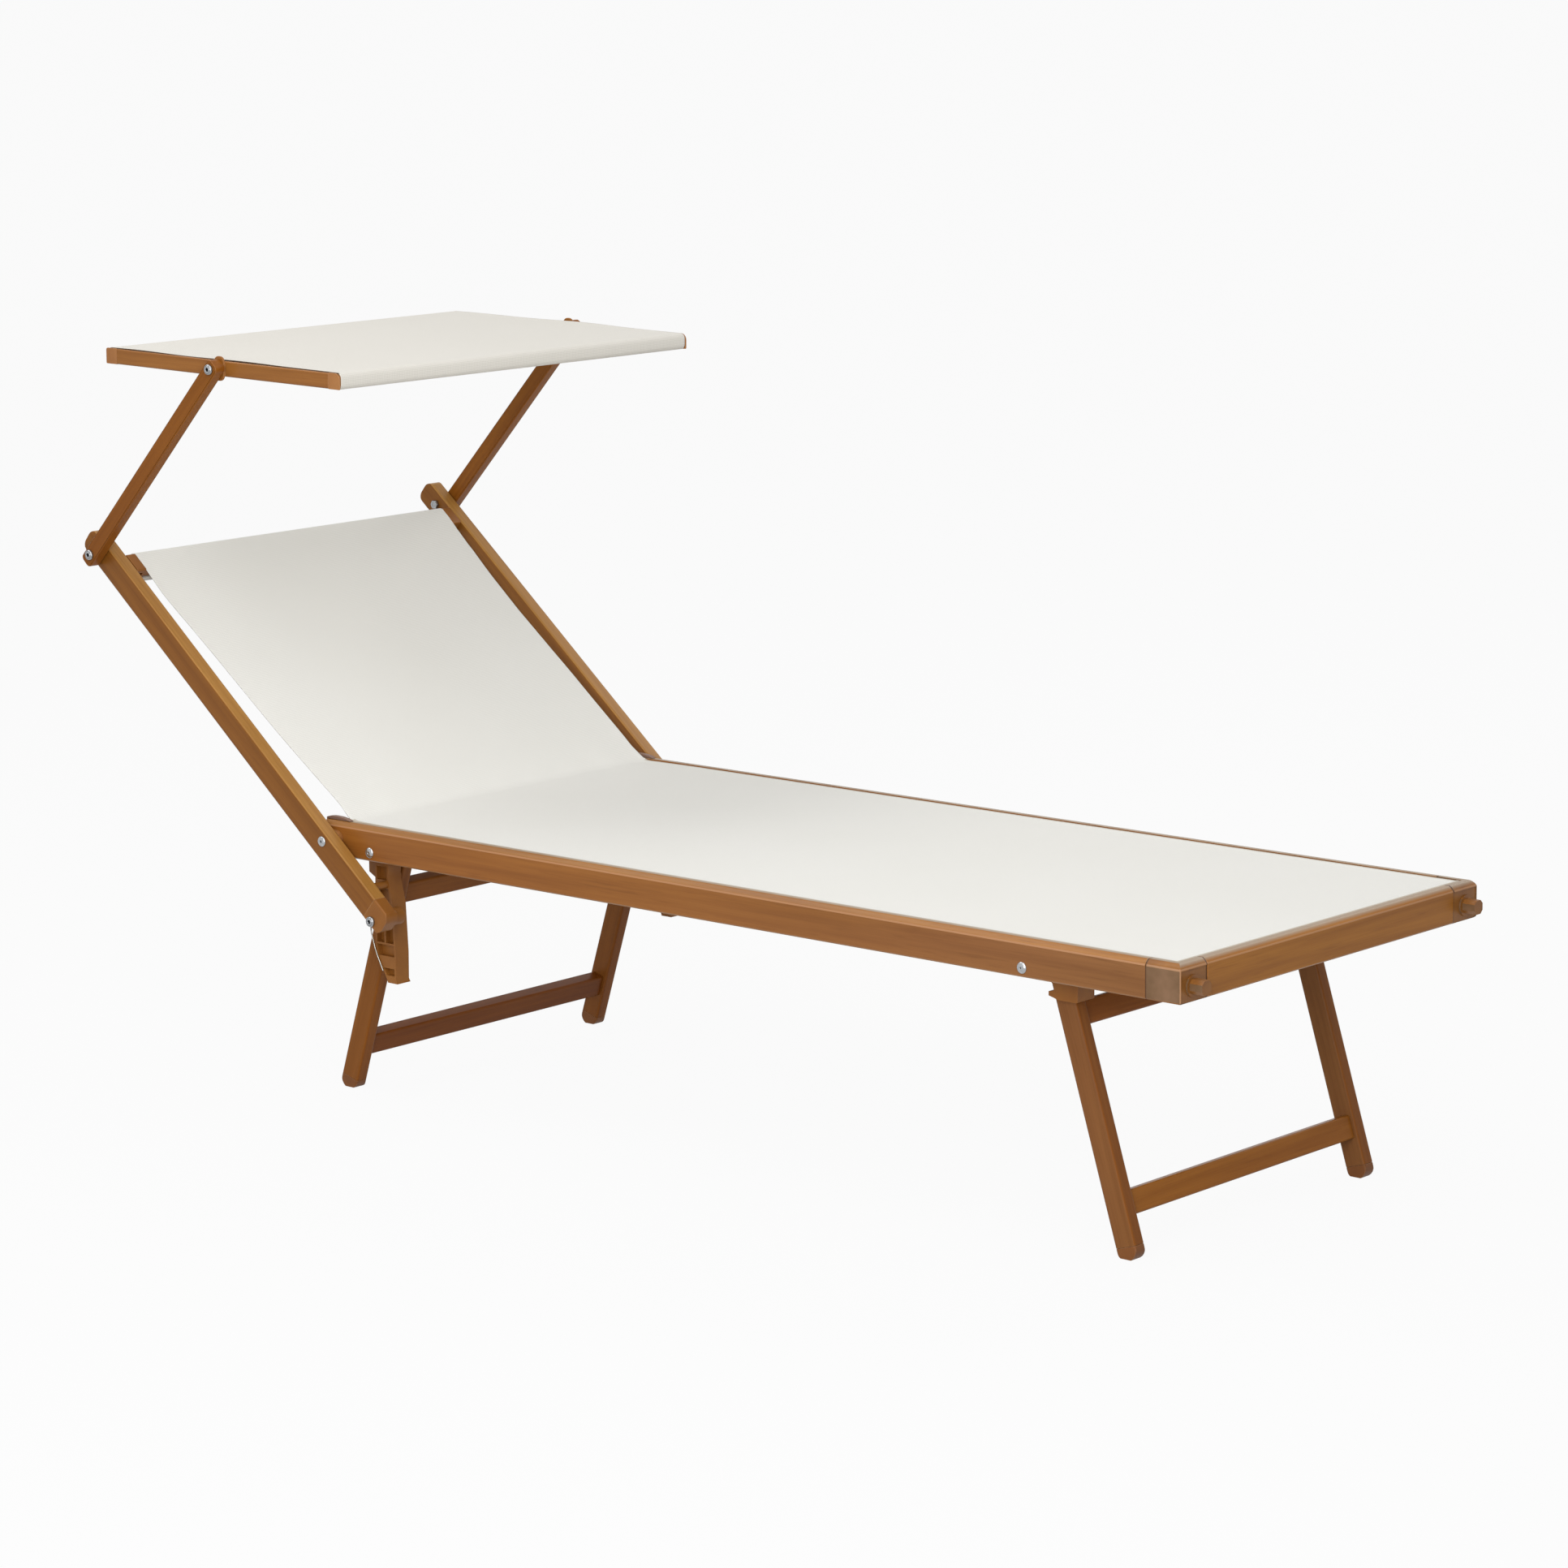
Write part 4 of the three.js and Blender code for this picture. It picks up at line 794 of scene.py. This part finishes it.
# the far end, in rows of radius, distance from the nut's inner face and six-sidedness
nutEnd = [(7.0, 0, 1), (7.0, 4.2, 1), (6.3, 5.0, 0.7), (4.2, 5.0, 0)]
threadEnd = [(3.0, 5.0, 0), (3.0, 4.6, 0), (2.4, 4.3, 0), (0, 4.2, 0)]
washerRim = [(8.3, 0), (8.5, 0.3)]  # radius and distance from the washer's nearer face

fasteners = {  # head, shank radius, nut or not, washer's two depths
    "arm_screw": (socketHead, 3.0, True, (21.3, 22.9)),
    "canopy_screw": (socketHead, 3.0, True, None),
    "follower_bolt": (socketHead, 3.0, True, None),
    "leg_rivet_front": (domedHead, 4.0, False, None),
    "leg_rivet_rear": (domedHead, 4.0, False, None),
    "backrest_pivot_bolt": (boltHead, 4.0, False, None),
}
turning = {
    "sides": 48,
    "crease": 35,  # degrees from which an edge stays sharp
    "doubles": 1e-6,  # metres within which corners are one
}
sunkShade = {  # how far the finish darkens, with painted shade in sockets and grooves, and in mm where
    "socket": 0.9,
    "socketRadius": 2.75,
    "socketDepths": (0.4, 3.5),
    "groove": 0.6,  # the ring in a socket head's top
    "grooveRadii": (4.8, 5.5),
    "grooveDepth": 0.6,
    "socketHead": 0.3,
    "otherHead": 0.12,
}


def fastenerRows(head, shank, hasNut, washer, length):
    # the whole profile from the head's middle to the far end's, in rows like the head's
    rows = list(head) + [(shank, head[-1][1], 0)]
    if washer:
        near, far = washer
        rows += [(shank, near, 0)] + [(r, near + d, 0) for r, d in washerRim]
        rows += [(r, far - d, 0) for r, d in washerRim[::-1]] + [(shank, far, 0)]
    if hasNut:
        start = length - nutEnd[-1][1]
        rows += [(shank, start, 0)] + [(r, start + d, six) for r, d, six in nutEnd + threadEnd]
    else:
        rows += [(shank, length - domedHead[-1][1], 0)]
        rows += [(r, length - d, six) for r, d, six in domedHead[::-1]]
    return np.array(rows)


def turnedFastener(node, head, shank, hasNut, washer):
    # each row is a ring: radius times the angle's cosine and sine along X and Z, and its depth
    # along Y; a six-sided row's radius is r cos 30 / cos(a - 30) within each 60 degrees
    spots = readVectors(nodes[node].data.vertices, "co")
    low, high = spots.min(0), spots.max(0)
    middle = (low + high) / 2
    outer, inner = (high[1], low[1]) if high[1] > 0 else (low[1], high[1])
    side = 1 if outer > 0 else -1
    rows = fastenerRows(head, shank, hasNut, washer, abs(outer - inner) * mmPerMetre)
    angle = np.linspace(0, 2 * np.pi, turning["sides"], endpoint=False)
    flat = math.cos(math.pi / 6) / np.cos(np.mod(angle, np.pi / 3) - np.pi / 6)
    radius = rows[:, :1] * (1 + rows[:, 2:] * (flat - 1)) / mmPerMetre
    points = np.empty((len(rows), turning["sides"], 3))
    points[..., 0] = middle[0] + radius * np.cos(angle)
    points[..., 1] = outer - side * rows[:, 1:2] / mmPerMetre
    points[..., 2] = middle[2] + radius * np.sin(angle)
    faces = gridFaces(len(rows), turning["sides"], closed=True)
    piece = meshPiece(f"{node}_turned", points, faces[:, ::side].tolist())

    shape = bmesh.new()
    shape.from_mesh(piece.data)
    bmesh.ops.remove_doubles(shape, verts=shape.verts, dist=turning["doubles"])
    bmesh.ops.recalc_face_normals(shape, faces=shape.faces)
    crease = math.radians(turning["crease"])
    for edge in shape.edges:
        edge.smooth = len(edge.link_faces) < 2 or edge.calc_face_angle() < crease
    shape.to_mesh(piece.data)
    shape.free()
    markSunk(piece.data, head, middle, outer)
    standFor(piece, nodes[node]["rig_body"], "zinc_steel", zincPlate, node)


def markSunk(mesh, head, middle, outer):
    # painted shade in the sockets and grooves, by distance from the fastener's line and depth below its
    # top, in mm
    spots = readVectors(mesh.vertices, "co")
    fromLine = np.hypot(spots[:, 0] - middle[0], spots[:, 2] - middle[2]) * mmPerMetre
    depth = np.abs(outer - spots[:, 1]) * mmPerMetre
    fromDepth, toDepth = sunkShade["socketDepths"]
    inSocket = (fromLine < sunkShade["socketRadius"]) & (fromDepth < depth) & (depth < toDepth)
    fromRadius, toRadius = sunkShade["grooveRadii"]
    inGroove = (fromRadius < fromLine) & (fromLine < toRadius) & (depth < sunkShade["grooveDepth"])
    if head is socketHead:
        shade = np.where(inGroove, sunkShade["groove"], sunkShade["socketHead"])
    else:
        shade = np.full(len(spots), sunkShade["otherHead"])
    shade = np.where(inSocket, sunkShade["socket"], shade)
    sunk = mesh.attributes.new("sunk", "FLOAT", "POINT")
    sunk.data.foreach_set("value", shade.astype(np.float32))


for node in sorted(nodes):
    if stem(node) in fasteners:
        turnedFastener(node, *fasteners[stem(node)])
print("fasteners turned")

# cloth in general


def ovalPoints(centre, radii, fromDegrees, toDegrees, count):
    # centre plus each radius times the cosine or the sine of evenly spaced angles
    angle = np.radians(np.linspace(fromDegrees, toDegrees, count))
    return np.stack([
        centre[0] + radii[0] * np.cos(angle), centre[1] + radii[1] * np.sin(angle)], -1)


def evenly(path, step):
    # the same path with points about a step apart, its own corners kept
    pieces = []
    for start, end in zip(path[:-1], path[1:]):
        count = max(1, int(round(np.linalg.norm(end - start) / step)))
        pieces.append(start + (end - start) * (np.arange(count) / count)[:, None])
    return np.concatenate(pieces + [path[-1:]])


def distanceAlong(path):
    return np.concatenate([[0], np.cumsum(np.linalg.norm(np.diff(path, axis=0), axis=1))])


def clothGrid(path, across, extra):
    # a path of [x, z] carried across Y: point (row, column) is the row's point of the path, at the
    # Y that across gives, pushed by extra along the path's direction turned by a quarter
    along = np.gradient(path, axis=0)
    along /= np.linalg.norm(along, axis=1, keepdims=True)
    normal = np.stack([along[:, 1], -along[:, 0]], -1)
    points = np.empty((len(path), across.shape[-1], 3))
    points[..., 0] = path[:, None, 0] + normal[:, None, 0] * extra
    points[..., 1] = across
    points[..., 2] = path[:, None, 1] + normal[:, None, 1] * extra
    return points


def clothPiece(name, points, travelled, across, thickness, edgeShade):
    # a closed skin: the grid moved half a thickness to each side along its normal, the cross
    # product of its two directions, and joined round its rim; its UV map is in metres, and the last
    # argument is 0 on plain cloth and up to 1 where the finish paints shade on the edge
    rows, columns = points.shape[:2]
    alongRows, alongColumns = np.gradient(points, axis=0), np.gradient(points, axis=1)
    normal = np.cross(alongRows, alongColumns)
    normal /= np.linalg.norm(normal, axis=-1, keepdims=True)
    skins = np.concatenate([points + normal * thickness / 2, points - normal * thickness / 2])
    front = gridFaces(rows, columns)
    size = rows * columns
    rim = np.concatenate([
        np.arange(columns), np.arange(1, rows) * columns + columns - 1,
        (rows - 1) * columns + np.arange(columns - 1)[::-1], np.arange(1, rows - 1)[::-1] * columns,
    ])
    following = np.roll(rim, -1)
    walls = np.stack([rim, following, following + size, rim + size], -1)
    faces = np.concatenate([front[:, ::-1], front + size, walls])
    piece = meshPiece(name, skins, faces.tolist())

    uv = np.stack([np.broadcast_to(travelled[:, None], (rows, columns)), across], -1)
    corners = np.empty(len(piece.data.loops), int)
    piece.data.loops.foreach_get("vertex_index", corners)
    layer = piece.data.uv_layers.new(name="cloth")
    layer.data.foreach_set("uv", uv.reshape(-1, 2)[corners % size].astype(np.float32).ravel())
    shaded = piece.data.attributes.new("edgeShade", "FLOAT", "POINT")
    shaded.data.foreach_set("value", np.tile(edgeShade.astype(np.float32).ravel(), 2))
    return piece


# sling

sling = {
    "thickness": 0.0011,
    "footEdge": 0.910822,
    "footRows": (9, 0.001),  # close rows over the foot rail's bead: how many, metres apart
    "seatHeight": 0.3844,  # middle of the cloth
    "halfWidth": 0.2904,
    "caught": 0.006,  # width held inside each side rail
    "columns": 61,
    "step": 0.006,
    "bendRoom": 0.011,  # rounding before and after the bend
    "bendRows": 9,
    # height of the cloth above the hinge line, up along the rails, in the backrest's frame
    "backRows": [
        [0.03, 0.0212], [0.06, 0.0203], [0.15, 0.0158], [0.24, 0.0121], [0.32, 0.0093],
        [0.41, 0.0076], [0.46, 0.0078], [0.49, 0.0094], [0.503, 0.0106],
    ],
    # half of the cloth's width, by distance up the rails
    "backWidths": [
        [-0.02, 0.2904], [0.03, 0.2842], [0.1, 0.2866], [0.18, 0.2893], [0.32, 0.2903],
        [0.385, 0.2925], [0.44, 0.296], [0.5, 0.2963],
    ],
    # the sleeve round the top tube, also in the backrest's frame
    "sleeveStart": -0.515,
    "tubeHeight": 0.0019,
    "sleeveHalf": 0.0094,
    "sleeveEnd": (-0.5285, 0.0092),  # where the loop starts to round, and how far it reaches on
    "sleeveRows": 17,
    "tailEnd": -0.498,
    "freeBack": 0.5,  # length of cloth from the bend to the sleeve
    "sleeveFade": (-0.02, 0.01),  # round the end of that length, where the relief dies away
    # what lies over and under that path, in metres
    "seatDip": 0.0022,
    "backDip": 0.0014,
    "beadRise": 0.0006,
    "beadWidth": 0.0075,
    "beadColumns": 6,
    "beadFade": (-0.02, 0.05),  # from the bend
    "edgeShadeDepth": 0.4,  # how dark the painted shade on the seat's edge is
    "edgeShadeSpan": (0.1, 0.5),  # shares of the bead over which the painted shade darkens
    # between seat frame and backrest, from the bend's corner
    "blendFrom": (0.05, 0, -0.01),
    "blendTo": (-0.035, 0, 0.03),
}
puckers = {
    "height": 0.0011,
    "reach": 0.055,  # metres to each side of the bend
    "middleShare": 0.25,
    "pitch": 0.083,
    "sway": (3, 7),  # radians, and turns of it per metre across
    "slant": 9,  # radians per metre along the cloth
}
ripples = {"height": 0.0006, "pitch": 0.31, "slant": 4, "fade": 0.1}


def slingPath(s):
    # from the foot end along the seat, round the bend, up the backrest and round the top tube;
    # the bend is a quadratic curve, (1 - t) squared before + 2 t (1 - t) corner + t squared after
    middle, half = s["tubeHeight"], s["sleeveHalf"]
    loopStart, loopReach = s["sleeveEnd"]
    up = np.array(s["backRows"]) * [-1, 1]
    wrap = ovalPoints((loopStart, middle), (loopReach, half), 90, 270, s["sleeveRows"])
    back = tilted(hinge, slopes["backrest"])(np.concatenate([
        up, [[s["sleeveStart"], middle + half]], wrap, [[s["tailEnd"], middle - half]]]))
    slope = (back[0] - back[1]) / np.linalg.norm(back[0] - back[1])
    toCorner = (back[0][1] - s["seatHeight"]) / -slope[1]
    corner = back[0] + slope * toCorner
    before, after = corner + [s["bendRoom"], 0], corner - slope * s["bendRoom"]
    t = np.linspace(0, 1, s["bendRows"])[:, None]
    bend = (1 - t) ** 2 * before + 2 * t * (1 - t) * corner + t ** 2 * after
    count, apart = s["footRows"]
    footX = s["footEdge"] - np.arange(count) * apart
    foot = np.stack([footX, np.full(count, s["seatHeight"])], -1)
    return evenly(np.concatenate([foot, bend, back]), s["step"]), corner


def slingStations(s):
    # places across: even ones between the beads, and in each bead closing up on the edge with
    # the sine of an angle that goes from 0 to 90 degrees
    half, bead = s["halfWidth"], s["beadWidth"]
    inner = np.linspace(-(half - bead), half - bead, s["columns"])
    quarter = np.linspace(0, np.pi / 2, s["beadColumns"] + 1)[1:]
    edge = half - bead * (1 - np.sin(quarter))
    return np.concatenate([-edge[::-1], inner, edge])


def slingRelief(s, rows, y, bendAt, railShare, footShare):
    # what the cloth stands above its path, the sum of four surfaces in rows along and y across
    half, topAt = s["halfWidth"], bendAt + s["freeBack"]
    fromBend = rows - bendAt
    onBack = np.sin(np.pi * np.clip(fromBend / (topAt - bendAt), 0, 1))  # half a sine wave

    # dip: across 1 - (y / half) squared; along the root of half a sine wave over the seat, and
    # half a sine wave over the free backrest
    onSeat = np.sin(np.pi * np.clip(rows / bendAt, 0, 1)) ** 0.5
    dip = -(s["seatDip"] * onSeat + s["backDip"] * onBack) * (1 - (y / half) ** 2)

    # bead: half a sine wave over its width along the rails, ending past the bend, and along the
    # foot rail; the higher one counts
    ended = smoothStep(rows, *(bendAt + np.array(s["beadFade"])))
    railBead = s["beadRise"] * np.sin(np.pi * railShare) * (1 - ended)
    footBead = s["beadRise"] * np.sin(np.pi * footShare)

    # puckers: a swaying sine wave across that slants with the way along, within a bell curve
    # round the bend, and stronger towards the rails with the fourth power of y / half
    nearBend = np.exp(-(fromBend / puckers["reach"]) ** 2)
    least = puckers["middleShare"]
    nearEdge = least + (1 - least) * (np.abs(y) / half) ** 4
    sway, swayTurns = puckers["sway"]
    phase = 2 * np.pi * y / puckers["pitch"] + sway * np.sin(swayTurns * y) + puckers["slant"] * fromBend
    pucker = puckers["height"] * nearBend * nearEdge * np.sin(phase)

    # ripples: a long sine wave across that slants, over the free backrest
    phase = 2 * np.pi * y / ripples["pitch"] + ripples["slant"] * fromBend
    begun = smoothStep(rows, bendAt, bendAt + ripples["fade"])
    ripple = ripples["height"] * onBack * np.sin(phase) * begun

    inSleeve = smoothStep(rows, *(topAt + np.array(s["sleeveFade"])))
    return (dip + np.maximum(railBead, footBead) + pucker + ripple) * (1 - inSleeve)


def makeSling(s):
    path, corner = slingPath(s)
    travelled = distanceAlong(path)
    bendAt = travelled[np.argmin(np.linalg.norm(path - corner, axis=1))]
    rows, y = travelled[:, None], slingStations(s)[None, :]
    half, bead = s["halfWidth"], s["beadWidth"]
    wide = y / half * np.interp(rows - bendAt, *np.array(s["backWidths"]).T)
    railShare = np.clip(1 - (half - np.abs(y)) / bead, 0, 1)  # 1 at the cloth's edge
    footShare = np.clip(1 - rows / bead, 0, 1)
    points = clothGrid(path, wide, slingRelief(s, rows, y, bendAt, railShare, footShare))
    # painted shade on the bead's outer side, along the rails before the bend and along the foot rail
    alongRails = smoothStep(railShare, *s["edgeShadeSpan"]) * (rows < bendAt)
    edgeShade = s["edgeShadeDepth"] * np.maximum(alongRails, smoothStep(footShare, *s["edgeShadeSpan"]))
    piece = clothPiece("sling_cloth", points, travelled, wide, s["thickness"], edgeShade)
    standFor(piece, None, "sling_fabric", slingWeave, "seat_sling", "backrest_sling")
    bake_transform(piece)


makeSling(sling)

# canopy cover

cover = {
    "thickness": 0.0011,
    "tubeCentre": 0.21975,  # from the pivot, both ways along the side bars
    "sleeveHalf": 0.01065,  # half of a sleeve's height
    "sleeveRadius": 0.0064,  # of its rounded corners
    "sleeveRows": 6,
    "topRows": 60,
    "topFrom": 0.9,  # share of the sleeve's half height from which a row is on top
    "hem": 0.045,
    "halfWidth": 0.3297,
    "hemHalfWidth": 0.3155,
    "barZone": 0.2115,  # from the pivot; within it the hems are narrower, clear of the bars
    "columns": 71,
    "rimShares": [0.9935, 0.9965, 0.998],  # of the half width, where columns are added
    # shares of the half width over which the painted shadow under a lifted edge darkens
    "edgeShadowShares": (0.9965, 0.9985),
    "sag": 0.0005,
    "step": 0.006,
    "edgeLift": 0.0012,
    "liftWidth": 0.02,  # of the edge's lift, inwards
}
coverWave = {"height": 0.0005, "pitch": 0.27, "slant": 12}
edgeWave = {"height": 0.0007, "pitch": 0.24, "start": 0.6, "width": 0.03}
pivot = (pins["canopy_tilt"].x, pins["canopy_tilt"].z)


def coverPath(c):
    # hem, round the rear tube, across, round the front tube, hem; the top sags by the square of
    # a cosine that is 1 at the pivot and 0 at the tubes
    half, radius, tube, count = c["sleeveHalf"], c["sleeveRadius"], c["tubeCentre"], c["sleeveRows"]
    shift, radii = half - radius, (radius, radius)
    across = np.linspace(-tube, tube, c["topRows"])[1:-1]
    top = np.stack([across, half - c["sag"] * np.cos(np.pi * across / (2 * tube)) ** 2], -1)
    return evenly(np.concatenate([
        [[-tube + c["hem"], -half]],
        ovalPoints((-tube - shift, -shift), radii, 270, 180, count),
        ovalPoints((-tube - shift, shift), radii, 180, 90, count),
        top,
        ovalPoints((tube + shift, shift), radii, 90, 0, count),
        ovalPoints((tube + shift, -shift), radii, 0, -90, count),
        [[tube - c["hem"], -half]],
    ]), c["step"])[::-1]


def coverShares(c):
    # places across as shares of the half width: even ones, with a few more beside each edge
    even, rim = np.linspace(-1, 1, c["columns"]), np.array(c["rimShares"])
    return np.concatenate([[-1], -rim[::-1], even[1:-1], rim, [1]])[None, :]


def coverRelief(c, rows, y, width, isTop):
    # above the path, and only on top, where all of it follows a cosine that is 0 at the tubes:
    # a sine wave across that slants, a sine wave along the two edges, and the edges' own lift
    onTop = isTop * np.cos(np.pi * np.clip(rows / (2 * c["tubeCentre"]), -0.5, 0.5))
    phase = 2 * np.pi * y / coverWave["pitch"] + coverWave["slant"] * rows
    wave = coverWave["height"] * onTop * np.sin(phase)
    atEdge = smoothStep(np.abs(y), width - edgeWave["width"], width)
    phase = 2 * np.pi * rows / edgeWave["pitch"] + edgeWave["start"]
    wave = wave + edgeWave["height"] * onTop * atEdge * np.sin(phase)
    return wave + c["edgeLift"] * smoothStep(np.abs(y), width - c["liftWidth"], width) * onTop


def makeCover(c):
    path, share = coverPath(c), coverShares(c)
    travelled = distanceAlong(path)
    inHem = (path[:, 1] < 0) & (np.abs(path[:, 0]) < c["barZone"])
    width = np.where(inHem, c["hemHalfWidth"], c["halfWidth"])[:, None]
    y = width * share
    isTop = path[:, 1:] > c["sleeveHalf"] * c["topFrom"]
    relief = coverRelief(c, path[:, None, 0], y, width, isTop)
    points = clothGrid(tilted(pivot, slopes["canopy"])(path), y, relief)
    # painted shadow under the cover's lifted side edges, on top only
    edgeShade = smoothStep(np.abs(share), *c["edgeShadowShares"]) * isTop
    piece = clothPiece("canopy_cloth", points, travelled, y, c["thickness"], edgeShade)
    standFor(piece, "canopy", "sling_fabric", coverWeave, "canopy_cover")


makeCover(cover)

# view transform

bpy.context.scene.view_settings.view_transform = "Standard"
